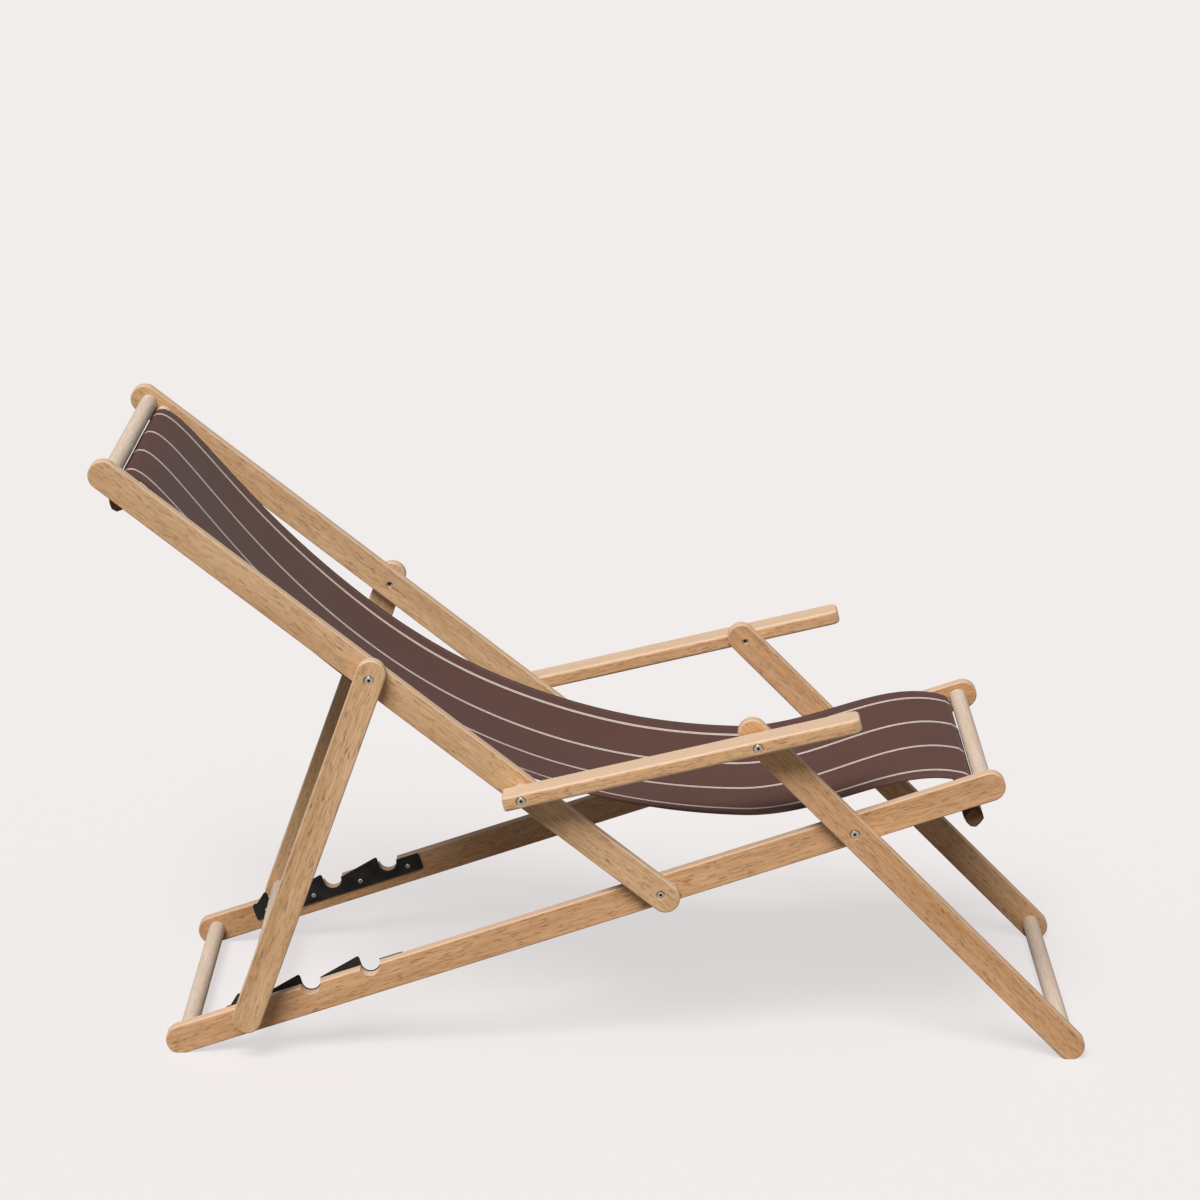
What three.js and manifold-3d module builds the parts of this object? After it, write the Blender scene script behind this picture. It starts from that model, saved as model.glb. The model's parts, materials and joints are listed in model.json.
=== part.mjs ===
// Folding beach chair: a wooden deck chair with armrests and a striped sling.
//
// Millimetres. +X is the foot end, +Y is the sitter's left, +Z is up. The origin is on the
// ground, under the middle of the chair. The chair stands open, with its prop bar in the
// rearmost pair of notches.
//
// Every long piece is drawn along its own +X, so a frame's group holds its place and its slope.

import * as THREE from "three";
import { mergeVertices } from "three/addons/utils/BufferGeometryUtils.js";
import Module from "manifold-3d";

// Stock
const RAIL_HEIGHT = 40;
const RAIL_THICKNESS = 20;
const BAR_RADIUS = 12;
const TENON = 12; // how far a bar goes into a rail's blind hole
const END_REACH = 8; // from the last bar or pivot to the centre of a rail's round end
const FIT = 0.3; // gap between pieces that touch
const GROUND_CUT = 1.5; // what is planed off a round end where it stands on the ground

// Layers across the chair, from the middle out: seat rail, then back rail and leg, then prop
const SEAT_HALF_WIDTH = 222; // from the middle to the seat rails' inner faces
const LAYER_GAP = 1.4; // between the faces of two rails that turn on each other

// Distances between pivots. The armrest's length between its pivots makes both pairs of sides
// of the four-bar add up to the same, so that it all folds into one line.
const SEAT_PIVOTS = 276; // back pivot to leg pivot, along the seat rail
const REAR_PIVOT = 239; // back pivot to the armrest's rear pivot, along the back rail
const LEG_TO_ARM = 190; // leg pivot to the armrest's front pivot, along the leg
const ARM_PIVOTS = SEAT_PIVOTS + REAR_PIVOT - LEG_TO_ARM; // between the armrest's two pivots

// Seat frame, measured from the back pivot
const REAR_BAR = 686;
const FRONT_BAR = 462;
const BAR_GAP = 3; // where the cloth goes down, between an end bar and the sling bar inside it
const BAR_PITCH = 2 * BAR_RADIUS + BAR_GAP;

// Back frame, measured from the back pivot
const HEAD_BAR = 934;
const PROP_PIVOT = 497;

// Front legs, measured from the leg pivot
const FOOT_BAR = 418;

// Prop frame
const PROP_BAR = 501; // from the prop pivot

// Notches and their steel plates, measured from the back pivot along the seat rail
const NOTCHES = 3;
const FIRST_NOTCH = 584;
const NOTCH_PITCH = 86;
const NOTCH_CLEARANCE = 1; // around the prop bar
const NOTCH_RADIUS = BAR_RADIUS + NOTCH_CLEARANCE;
const WOOD_NOTCH_RADIUS = NOTCH_RADIUS + 1; // the bar rests on the steel, not on the wood
const TOOTH_HEIGHT = 12.4; // above the rail's top edge
const TOOTH_NOSE = 3;
const PLATE_THICKNESS = 2.5;
const PLATE_DEPTH = 25; // below the rail's top edge
const PLATE_REAR = 40; // behind the first notch
const PLATE_FRONT = 48; // ahead of the last notch
const PLATE_CORNER = 4;
const REAR_RAMP = 32; // foot of the first tooth's ramp, behind the first notch
const SCREW_DEPTH = 14.3; // below the rail's top edge
const SCREW_AFTER_NOTCH = [-21, 52, 39, 27]; // of notches 1, 1, 2 and 3
const SCREW_NOTCH = [0, 0, 1, 2];

// Armrests
const ARM_WIDTH = 48;
const ARM_THICKNESS = 20;
const ARM_REAR_REACH = 25; // behind the rear pivot
const ARM_FRONT_REACH = 141; // ahead of the front pivot
const ARM_NOSE = 6;
const ARM_CORNER = 12;

// Sling and its sticks
const SLING_CLEARANCE = 5; // from the cloth's edge to the seat rail
const SLING_HALF_WIDTH = SEAT_HALF_WIDTH - SLING_CLEARANCE;
const SLING_THICKNESS = 1.6;
const STICK_SIZE = 20;
const STICK_CORNER = 4;
const HEAD_DROP = 33; // from the gap between the head bars down to the stick's centre
const FRONT_DROP = 44;
const HEAD_STICK_TURN = 20;
const FRONT_STICK_TURN = 45;
const HEAD_SLOPE = 15; // of the cloth where it leaves the head bar, in degrees
const FRONT_SLOPE = -13; // of the cloth where it comes down to the front bar
const LOW_AHEAD = 111; // the sag's lowest point, ahead of the back pivot
const LOW_ABOVE = 89; // and above it
const HEAD_PULL = 70; // how far the cloth runs on at each slope before it bends
const LOW_PULL_BACK = 550;
const LOW_PULL_FRONT = 119;
const FRONT_PULL = 99;
const SLING_STEPS = 32; // straight pieces in each of its two long curves

// Fasteners
const HOLE_RADIUS = 4.7;
const HEAD_RADIUS = 6.5;
const HEAD_HEIGHT = 3.4;
const COUNTERBORE_RADIUS = 7.3;
const COUNTERBORE_DEPTH = 4.5;
const SHANK_RADIUS = 3;
const SOCKET_RADIUS = 2.4;
const SOCKET_DEPTH = 2;
const NUT_RADIUS = 4.3;
const NUT_BORE = 3.4;
const NUT_END = 4.5;
const NUT_RECESS = 3.5;
const NUT_LENGTH = RAIL_THICKNESS - NUT_RECESS - 1.5;
const RING_RADIUS = 6.5; // the shallow ring around the back pivot's nut
const RING_DEPTH = 2;
const RING_NUT_RECESS = 0.8;
const WASHER_RADIUS = 11;
const WASHER_THICKNESS = 0.8;
const SCREW_HEAD_RADIUS = 3.4;
const SCREW_HEAD_HEIGHT = 1.8;
const SCREW_RADIUS = 1.7;
const SCREW_LENGTH = 14;

const CURVE_STEPS = 8;
const BAR_STEPS = 24;
const FASTENER_STEPS = 12;

// Faces of the layers, as distances from the middle
const SEAT_FACE = SEAT_HALF_WIDTH;
const PLATE_FACE = SEAT_FACE - FIT;
const PLATE_INNER_FACE = PLATE_FACE - PLATE_THICKNESS;
const SEAT_OUTER_FACE = SEAT_FACE + RAIL_THICKNESS;
const BACK_FACE = SEAT_OUTER_FACE + LAYER_GAP;
const BACK_OUTER_FACE = BACK_FACE + RAIL_THICKNESS;
const PROP_FACE = BACK_OUTER_FACE + LAYER_GAP;
const PROP_OUTER_FACE = PROP_FACE + RAIL_THICKNESS;
const ARM_OUTER_FACE = PROP_FACE + ARM_WIDTH;
const HALF_HEIGHT = RAIL_HEIGHT / 2;
const END_HEIGHT = HALF_HEIGHT - GROUND_CUT; // of a round end's centre above the ground
const SIDES = [["left", 1], ["right", -1]];

const wasm = await Module();
wasm.setup();

// ---- Angles: the open chair, worked out from the distances above ----

// The angle of a triangle opposite its third side.
function cornerAngle(sideA, sideB, opposite) {
  const cosine = (sideA ** 2 + sideB ** 2 - opposite ** 2) / (2 * sideA * sideB);
  return Math.acos(cosine);
}

// A point at a distance and an angle from another, in the side view.
function polar(from, distance, angle) {
  const step = new THREE.Vector2(Math.cos(angle), Math.sin(angle)).multiplyScalar(distance);
  return step.add(from);
}

const propBarHeight = HALF_HEIGHT - NOTCH_RADIUS + BAR_RADIUS + FIT;
const propBarDistance = Math.hypot(FIRST_NOTCH, propBarHeight);
const recline = cornerAngle(PROP_PIVOT, propBarDistance, PROP_BAR)
  + Math.atan2(propBarHeight, FIRST_NOTCH);

// Everything here is in the seat frame: its rails lie along +X and the back pivot is at 0, 0.
const backPivot = new THREE.Vector2(0, 0);
const legPivot = new THREE.Vector2(SEAT_PIVOTS, 0);
const backAngle = Math.PI - recline;
const propPivot = polar(backPivot, PROP_PIVOT, backAngle);
const armRearPivot = polar(backPivot, REAR_PIVOT, backAngle);
const toArm = armRearPivot.clone().sub(legPivot);
const legAngle = toArm.angle() - cornerAngle(LEG_TO_ARM, toArm.length(), ARM_PIVOTS);
const armFrontPivot = polar(legPivot, LEG_TO_ARM, legAngle);
const armAngle = armFrontPivot.clone().sub(armRearPivot).angle();
const propBar = new THREE.Vector2(-FIRST_NOTCH, propBarHeight);
const propAngle = propBar.clone().sub(propPivot).angle();

// The seat slopes so that its rear ends and the feet stand on the same ground.
const rearEnd = new THREE.Vector2(-REAR_BAR - END_REACH, 0);
const footEnd = polar(legPivot, -FOOT_BAR - END_REACH, legAngle);
const groundLine = footEnd.clone().sub(rearEnd);
const seatSlope = -Math.atan2(groundLine.y, groundLine.x);

const origin2 = new THREE.Vector2();
const headEnd = polar(backPivot, HEAD_BAR + END_REACH, backAngle);
const headEndX = headEnd.clone().rotateAround(origin2, seatSlope).x;
const footEndX = footEnd.clone().rotateAround(origin2, seatSlope).x;
const pivotX = -(headEndX + footEndX) / 2;
const pivotZ = END_HEIGHT - rearEnd.clone().rotateAround(origin2, seatSlope).y;

// ---- Groups: one for each frame, with its rails along its own +X ----

const chair = new THREE.Group();

// A group placed at a point of its parent's side view, and turned up from +X by an angle.
function frameGroup(parent, place, angle) {
  const group = new THREE.Group();
  group.position.set(place.x, 0, place.y);
  group.rotation.y = -angle;
  parent.add(group);
  return group;
}

const seatFrame = frameGroup(chair, new THREE.Vector2(pivotX, pivotZ), seatSlope);
const backFrame = frameGroup(seatFrame, backPivot, backAngle);
const legFrame = frameGroup(seatFrame, legPivot, legAngle);
const propFrame = frameGroup(seatFrame, propPivot, propAngle);
const armrests = frameGroup(seatFrame, armRearPivot, armAngle);
chair.updateMatrixWorld(true);

// ---- Finishes ----

const material = (color, roughness, metalness) =>
  new THREE.MeshStandardMaterial({ color, roughness, metalness });
const hardwood = () => material(0xb98a5e, 0.62, 0);
const palewood = () => material(0xd8bfa0, 0.6, 0);
const stickwood = () => material(0x9a6a42, 0.65, 0);
const blackSteel = () => material(0x1b1a19, 0.5, 0.6);
const brightSteel = () => material(0xd9d6d0, 0.3, 1);
const nylon = () => material(0xe6e2d8, 0.5, 0);
const cloth = () => material(0x6b4f4b, 0.9, 0);

// ---- Solids ----

// A manifold-3d solid from a closed geometry.
function solidOf(geometry) {
  const plain = geometry.clone();
  plain.deleteAttribute("normal");
  plain.deleteAttribute("uv");
  const merged = mergeVertices(plain, 1e-4);
  return new wasm.Manifold(new wasm.Mesh({
    numProp: 3,
    vertProperties: new Float32Array(merged.attributes.position.array),
    triVerts: new Uint32Array(merged.index.array),
  }));
}

// A geometry from a manifold-3d solid.
function geometryOf(solid) {
  const mesh = solid.getMesh();
  const geometry = new THREE.BufferGeometry();
  geometry.setAttribute("position", new THREE.BufferAttribute(mesh.vertProperties, 3));
  geometry.setIndex(new THREE.BufferAttribute(mesh.triVerts, 1));
  const faceted = geometry.toNonIndexed();
  faceted.computeVertexNormals();
  return faceted;
}

// A blank with pieces cut away.
function cut(blank, tools) {
  let solid = solidOf(blank);
  for (const tool of tools) solid = solid.subtract(solidOf(tool));
  return geometryOf(solid);
}

// A side-view outline made into a board, with one face at each of two distances across.
function board(outline, faceA, faceB) {
  const low = Math.min(faceA, faceB);
  const high = Math.max(faceA, faceB);
  const geometry = new THREE.ExtrudeGeometry(outline, {
    depth: high - low,
    bevelEnabled: false,
    curveSegments: CURVE_STEPS,
  });
  return geometry.rotateX(Math.PI / 2).translate(0, high, 0);
}

// A round rod or bore across the chair, at a point of the side view.
function rod(place, radius, faceA, faceB, steps = FASTENER_STEPS) {
  const length = Math.abs(faceB - faceA);
  const geometry = new THREE.CylinderGeometry(radius, radius, length, steps);
  return geometry.translate(place.x, (faceA + faceB) / 2, place.y);
}

// A turned piece: the profile's points are [radius, distance along the bolt], and the bolt
// runs along +Y from a point across the chair when way is 1, or along -Y when it is -1.
function turned(profile, place, across, way) {
  const points = profile.map(([radius, along]) => new THREE.Vector2(radius, along));
  const geometry = new THREE.LatheGeometry(points, FASTENER_STEPS);
  if (way < 0) geometry.rotateX(Math.PI);
  return geometry.translate(place.x, across, place.y);
}

function addMesh(group, name, geometry, finish) {
  const mesh = new THREE.Mesh(geometry, finish);
  mesh.name = name;
  group.add(mesh);
}

const along = (distance) => new THREE.Vector2(distance, 0);

// ---- Rails, legs and bars ----

// A rail's outline: straight edges between two round ends.
function railOutline(rearX, frontX) {
  const outline = new THREE.Shape();
  outline.absarc(frontX, 0, HALF_HEIGHT, -Math.PI / 2, Math.PI / 2, false);
  outline.absarc(rearX, 0, HALF_HEIGHT, Math.PI / 2, Math.PI * 1.5, false);
  return outline;
}

// The ground, as a block to plane a round end flat with, in a frame's own directions.
function groundBlock(group, end) {
  const depth = RAIL_HEIGHT;
  const block = new THREE.BoxGeometry(2 * RAIL_HEIGHT, 2 * ARM_OUTER_FACE, depth);
  const centre = new THREE.Vector3(end.x, 0, end.y).applyMatrix4(group.matrixWorld);
  block.translate(centre.x, 0, -depth / 2);
  return block.applyMatrix4(group.matrixWorld.clone().invert());
}

// The blind holes that take bars' tenons, in a rail's inner face.
function tenonHoles(places, side, face) {
  return places.map((place) =>
    rod(place, BAR_RADIUS + FIT, side * (face - 1), side * (face + TENON + FIT), BAR_STEPS));
}

// A bolt's hole through a rail and, in the face it starts from, a wider bore for its head.
function boltHole(place, side, inner, outer, boreFace, boreRadius, boreDepth) {
  const hole = rod(place, HOLE_RADIUS, side * (inner - 1), side * (outer + 1));
  if (boreFace === undefined) return [hole];
  const inward = boreFace === inner ? 1 : -1;
  const bore = rod(place, boreRadius, side * (boreFace - inward),
    side * (boreFace + inward * boreDepth));
  return [hole, bore];
}

// A bar between two frames' rails, with its tenons.
function crossbar(place, face) {
  const reach = face + TENON;
  return rod(place, BAR_RADIUS, -reach, reach, BAR_STEPS);
}

// ---- Seat frame ----

const notchX = (index) => -FIRST_NOTCH + index * NOTCH_PITCH;
const notchNumbers = Array.from({ length: NOTCHES }, (_, index) => index);
const lastNotch = notchX(NOTCHES - 1);
const frontBar = along(FRONT_BAR);
const frontSlingBar = along(FRONT_BAR - BAR_PITCH);
const rearBar = along(-REAR_BAR);
const screwPlaces = SCREW_AFTER_NOTCH.map((ahead, index) =>
  new THREE.Vector2(notchX(SCREW_NOTCH[index]) + ahead, HALF_HEIGHT - SCREW_DEPTH));

function seatRail(side) {
  const blank = board(railOutline(rearEnd.x, FRONT_BAR + END_REACH),
    side * SEAT_FACE, side * SEAT_OUTER_FACE);
  const top = (x) => new THREE.Vector2(x, HALF_HEIGHT);
  const notches = notchNumbers.map((index) =>
    rod(top(notchX(index)), WOOD_NOTCH_RADIUS, side * (SEAT_FACE - 1),
      side * (SEAT_OUTER_FACE + 1), BAR_STEPS));
  const pilots = screwPlaces.map((place) =>
    rod(place, SCREW_RADIUS + FIT, side * (SEAT_FACE - 1), side * (SEAT_FACE + SCREW_LENGTH)));
  return cut(blank, [
    ...tenonHoles([rearBar, frontSlingBar, frontBar], side, SEAT_FACE),
    ...boltHole(backPivot, side, SEAT_FACE, SEAT_OUTER_FACE, SEAT_FACE,
      COUNTERBORE_RADIUS, COUNTERBORE_DEPTH),
    ...boltHole(legPivot, side, SEAT_FACE, SEAT_OUTER_FACE),
    ...notches,
    ...pilots,
    groundBlock(seatFrame, rearEnd),
  ]);
}

// The steel notch plate: level with the rail's top edge, with a ramped tooth behind each notch.
function plateOutline() {
  const top = HALF_HEIGHT;
  const bottom = top - PLATE_DEPTH;
  const rear = notchX(0) - PLATE_REAR;
  const front = lastNotch + PLATE_FRONT;
  const outline = new THREE.Shape();
  outline.absarc(rear + PLATE_CORNER, bottom + PLATE_CORNER, PLATE_CORNER, Math.PI, Math.PI * 1.5);
  outline.absarc(front - PLATE_CORNER, bottom + PLATE_CORNER, PLATE_CORNER, -Math.PI / 2, 0);
  outline.absarc(front - PLATE_CORNER, top - PLATE_CORNER, PLATE_CORNER, 0, Math.PI / 2);
  for (const index of notchNumbers.toReversed()) {
    const x = notchX(index);
    const rampFoot = index > 0 ? notchX(index - 1) + NOTCH_RADIUS : x - REAR_RAMP;
    const noseX = x - NOTCH_RADIUS - TOOTH_NOSE;
    const noseZ = top + TOOTH_HEIGHT - TOOTH_NOSE;
    const ramp = Math.atan2(noseZ + TOOTH_NOSE - top, noseX - rampFoot);
    outline.absarc(x, top, NOTCH_RADIUS, 0, -Math.PI, true);
    outline.absarc(noseX, noseZ, TOOTH_NOSE, 0, Math.PI / 2 + ramp);
    if (index === 0) outline.lineTo(rampFoot, top);
  }
  outline.absarc(rear + PLATE_CORNER, top - PLATE_CORNER, PLATE_CORNER, Math.PI / 2, Math.PI);
  return outline;
}

function notchPlate(side) {
  const blank = board(plateOutline(), side * PLATE_INNER_FACE, side * PLATE_FACE);
  const holes = screwPlaces.map((place) =>
    rod(place, SCREW_RADIUS + FIT, side * (PLATE_INNER_FACE - 1), side * (PLATE_FACE + 1)));
  return cut(blank, holes);
}

// A pan-head screw: its head is against the plate's inner face and its shank is in the rail.
function plateScrew(place, side) {
  const edge = SCREW_HEAD_HEIGHT / 2;
  const profile = [
    [0, -SCREW_HEAD_HEIGHT],
    [SCREW_HEAD_RADIUS * 0.7, -SCREW_HEAD_HEIGHT],
    [SCREW_HEAD_RADIUS, -edge],
    [SCREW_HEAD_RADIUS, 0],
    [SCREW_RADIUS, 0],
    [SCREW_RADIUS, SCREW_LENGTH - SCREW_RADIUS],
    [0, SCREW_LENGTH],
  ];
  return turned(profile, place, side * (PLATE_INNER_FACE - FIT), side);
}

for (const [sideName, side] of SIDES) {
  addMesh(seatFrame, `seat_rail_${sideName}`, seatRail(side), hardwood());
  addMesh(seatFrame, `notch_plate_${sideName}`, notchPlate(side), blackSteel());
  screwPlaces.forEach((place, index) => {
    const name = `plate_screw_${sideName}_${index + 1}`;
    addMesh(seatFrame, name, plateScrew(place, side), brightSteel());
  });
}
addMesh(seatFrame, "rear_bar", crossbar(rearBar, SEAT_FACE), palewood());
addMesh(seatFrame, "front_bar", crossbar(frontBar, SEAT_FACE), palewood());
addMesh(seatFrame, "front_sling_bar", crossbar(frontSlingBar, SEAT_FACE), palewood());

// ---- Back frame ----

const headBar = along(HEAD_BAR);
const headSlingBar = along(HEAD_BAR - BAR_PITCH);

function backRail(side) {
  const blank = board(railOutline(-END_REACH, HEAD_BAR + END_REACH),
    side * BACK_FACE, side * BACK_OUTER_FACE);
  return cut(blank, [
    ...tenonHoles([headSlingBar, headBar], side, BACK_FACE),
    ...boltHole(backPivot, side, BACK_FACE, BACK_OUTER_FACE, BACK_OUTER_FACE,
      RING_RADIUS, RING_DEPTH),
    ...boltHole(along(REAR_PIVOT), side, BACK_FACE, BACK_OUTER_FACE),
    ...boltHole(along(PROP_PIVOT), side, BACK_FACE, BACK_OUTER_FACE),
  ]);
}

for (const [sideName, side] of SIDES) {
  addMesh(backFrame, `back_rail_${sideName}`, backRail(side), hardwood());
}
addMesh(backFrame, "head_bar", crossbar(headBar, BACK_FACE), palewood());
addMesh(backFrame, "head_sling_bar", crossbar(headSlingBar, BACK_FACE), palewood());

// ---- Front legs ----

const footBar = along(-FOOT_BAR);

function frontLeg(side) {
  const blank = board(railOutline(-FOOT_BAR - END_REACH, LEG_TO_ARM + END_REACH),
    side * BACK_FACE, side * BACK_OUTER_FACE);
  return cut(blank, [
    ...tenonHoles([footBar], side, BACK_FACE),
    ...boltHole(along(0), side, BACK_FACE, BACK_OUTER_FACE, BACK_OUTER_FACE,
      COUNTERBORE_RADIUS, COUNTERBORE_DEPTH),
    ...boltHole(along(LEG_TO_ARM), side, BACK_FACE, BACK_OUTER_FACE),
    groundBlock(legFrame, along(-FOOT_BAR - END_REACH)),
  ]);
}

for (const [sideName, side] of SIDES) {
  addMesh(legFrame, `front_leg_${sideName}`, frontLeg(side), hardwood());
}
addMesh(legFrame, "foot_bar", crossbar(footBar, BACK_FACE), palewood());

// ---- Prop frame ----

const propBarPlace = along(PROP_BAR);

function propLeg(side) {
  const blank = board(railOutline(-END_REACH, PROP_BAR + END_REACH),
    side * PROP_FACE, side * PROP_OUTER_FACE);
  return cut(blank, [
    ...tenonHoles([propBarPlace], side, PROP_FACE),
    ...boltHole(along(0), side, PROP_FACE, PROP_OUTER_FACE, PROP_OUTER_FACE,
      COUNTERBORE_RADIUS, COUNTERBORE_DEPTH),
  ]);
}

for (const [sideName, side] of SIDES) {
  addMesh(propFrame, `prop_leg_${sideName}`, propLeg(side), hardwood());
}
addMesh(propFrame, "prop_bar", crossbar(propBarPlace, PROP_FACE), palewood());

// ---- Armrests ----

// A board outline with its own corner radius at the rear and at the front.
function roundedOutline(rearX, frontX, lowY, highY, rearRadius, frontRadius) {
  const outline = new THREE.Shape();
  outline.absarc(rearX + rearRadius, lowY + rearRadius, rearRadius, Math.PI, Math.PI * 1.5);
  outline.absarc(frontX - frontRadius, lowY + frontRadius, frontRadius, -Math.PI / 2, 0);
  outline.absarc(frontX - frontRadius, highY - frontRadius, frontRadius, 0, Math.PI / 2);
  outline.absarc(rearX + rearRadius, highY - rearRadius, rearRadius, Math.PI / 2, Math.PI);
  return outline;
}

// A flat board, rounded at its front end both in side view and from above.
function armrest(side) {
  const rear = -ARM_REAR_REACH;
  const front = ARM_PIVOTS + ARM_FRONT_REACH;
  const half = ARM_THICKNESS / 2;
  const sideView = board(roundedOutline(rear, front, -half, half, ARM_NOSE / 2, ARM_NOSE),
    side * PROP_FACE, side * ARM_OUTER_FACE);
  const low = Math.min(side * PROP_FACE, side * ARM_OUTER_FACE);
  const plan = new THREE.ExtrudeGeometry(
    roundedOutline(rear, front, low, low + ARM_WIDTH, ARM_NOSE / 2, ARM_CORNER),
    { depth: 2 * ARM_THICKNESS, bevelEnabled: false, curveSegments: CURVE_STEPS / 2 },
  ).translate(0, 0, -ARM_THICKNESS);
  const rounded = geometryOf(solidOf(sideView).intersect(solidOf(plan)));
  const bores = [0, ARM_PIVOTS].flatMap((x) =>
    boltHole(along(x), side, PROP_FACE, ARM_OUTER_FACE, ARM_OUTER_FACE,
      COUNTERBORE_RADIUS, COUNTERBORE_DEPTH));
  return cut(rounded, bores);
}

for (const [sideName, side] of SIDES) {
  addMesh(armrests, `armrest_${sideName}`, armrest(side), hardwood());
}

// ---- Pivot bolts, barrel nuts and washers ----

// A domed bolt with a hex socket. Its head sits in the bore of headFace and its shank runs
// towards the nut, up to shankEnd.
function bolt(place, side, headFace, shankEnd) {
  const inward = shankEnd < headFace ? -1 : 1;
  const underHead = headFace + inward * (COUNTERBORE_DEPTH - FIT);
  const length = Math.abs(shankEnd - underHead);
  const profile = [
    [0, -HEAD_HEIGHT],
    [HEAD_RADIUS * 0.5, -HEAD_HEIGHT * 0.95],
    [HEAD_RADIUS * 0.82, -HEAD_HEIGHT * 0.72],
    [HEAD_RADIUS, -HEAD_HEIGHT * 0.35],
    [HEAD_RADIUS, 0],
    [SHANK_RADIUS, 0],
    [SHANK_RADIUS, length - 1],
    [SHANK_RADIUS - 1, length],
    [0, length],
  ];
  const blank = turned(profile, place, side * underHead, side * inward);
  const top = underHead - inward * HEAD_HEIGHT;
  const socket = hexSocket(place, side * (top - inward), side * (top + inward * SOCKET_DEPTH));
  return cut(blank, [socket]);
}

function hexSocket(place, faceA, faceB) {
  const length = Math.abs(faceB - faceA);
  const socket = new THREE.CylinderGeometry(SOCKET_RADIUS, SOCKET_RADIUS, length, 6);
  return socket.translate(place.x, (faceA + faceB) / 2, place.y);
}

// A barrel nut: a sleeve open towards the bolt, with a hex socket in its closed end.
function nut(place, side, endFace, outward) {
  const profile = [
    [0, 0],
    [NUT_RADIUS - 0.5, 0],
    [NUT_RADIUS, 0.5],
    [NUT_RADIUS, NUT_LENGTH],
    [NUT_BORE, NUT_LENGTH],
    [NUT_BORE, NUT_END],
    [0, NUT_END],
  ];
  const blank = turned(profile, place, side * endFace, -side * outward);
  const socketEnd = endFace - outward * SOCKET_DEPTH;
  return cut(blank, [hexSocket(place, side * (endFace + outward), side * socketEnd)]);
}

function washer(place, side, gapFace) {
  const low = LAYER_GAP / 2 - WASHER_THICKNESS / 2;
  const ring = rod(place, WASHER_RADIUS, side * (gapFace + low),
    side * (gapFace + low + WASHER_THICKNESS));
  const hole = rod(place, HOLE_RADIUS, side * (gapFace - 1), side * (gapFace + LAYER_GAP + 1));
  return cut(ring, [hole]);
}

// One pivot on each side. The bolt's head is in the outer face and the nut in the inner one.
function pivot(group, name, place, inner, outer, gapFace) {
  for (const [sideName, side] of SIDES) {
    const shankEnd = inner + NUT_RECESS + NUT_END + FIT;
    addMesh(group, `${name}_bolt_${sideName}`, bolt(place, side, outer, shankEnd), brightSteel());
    addMesh(group, `${name}_nut_${sideName}`,
      nut(place, side, inner + NUT_RECESS, -1), brightSteel());
    addMesh(group, `${name}_washer_${sideName}`, washer(place, side, gapFace), nylon());
  }
}

pivot(seatFrame, "leg_pivot", legPivot, SEAT_FACE, BACK_OUTER_FACE, SEAT_OUTER_FACE);
pivot(backFrame, "prop_pivot", along(PROP_PIVOT), BACK_FACE, PROP_OUTER_FACE, BACK_OUTER_FACE);
pivot(backFrame, "arm_rear_pivot", along(REAR_PIVOT), BACK_FACE, ARM_OUTER_FACE, BACK_OUTER_FACE);

// The back pivot is the other way round: its bolt's head is inside and its nut outside.
for (const [sideName, side] of SIDES) {
  const nutEnd = BACK_OUTER_FACE - RING_NUT_RECESS;
  const shankEnd = nutEnd - NUT_END - FIT;
  addMesh(seatFrame, `back_pivot_bolt_${sideName}`,
    bolt(backPivot, side, SEAT_FACE, shankEnd), brightSteel());
  addMesh(seatFrame, `back_pivot_nut_${sideName}`, nut(backPivot, side, nutEnd, 1), brightSteel());
  addMesh(seatFrame, `back_pivot_washer_${sideName}`,
    washer(backPivot, side, SEAT_OUTER_FACE), nylon());
}

// The armrest's front pivot closes the loop of seat, back, armrest and leg. Its bolt ends
// inside the armrest and its nut inside the leg, so nothing of it crosses from one to the other.
for (const [sideName, side] of SIDES) {
  addMesh(armrests, `arm_front_pivot_bolt_${sideName}`,
    bolt(along(ARM_PIVOTS), side, ARM_OUTER_FACE, PROP_FACE + 1), brightSteel());
  addMesh(legFrame, `arm_front_pivot_nut_${sideName}`,
    nut(along(LEG_TO_ARM), side, BACK_FACE + NUT_RECESS, -1), brightSteel());
}

// ---- Sling and sticks: drawn level, in the chair's own directions ----

const levelPoint = (place) => place.clone().rotateAround(origin2, seatSlope)
  .add(new THREE.Vector2(pivotX, pivotZ));
const headPlace = levelPoint(polar(backPivot, HEAD_BAR - BAR_PITCH, backAngle));
const frontPlace = levelPoint(frontSlingBar);
const wrapRadius = BAR_RADIUS + FIT + SLING_THICKNESS / 2;
const headGap = levelPoint(polar(backPivot, HEAD_BAR - BAR_PITCH / 2, backAngle));
const frontGap = levelPoint(along(FRONT_BAR - BAR_PITCH / 2));
const headStick = new THREE.Vector2(headPlace.x - wrapRadius, headGap.y - HEAD_DROP);
const frontStick = new THREE.Vector2(frontPlace.x + wrapRadius, frontGap.y - FRONT_DROP);
const radians = THREE.MathUtils.degToRad;

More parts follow.
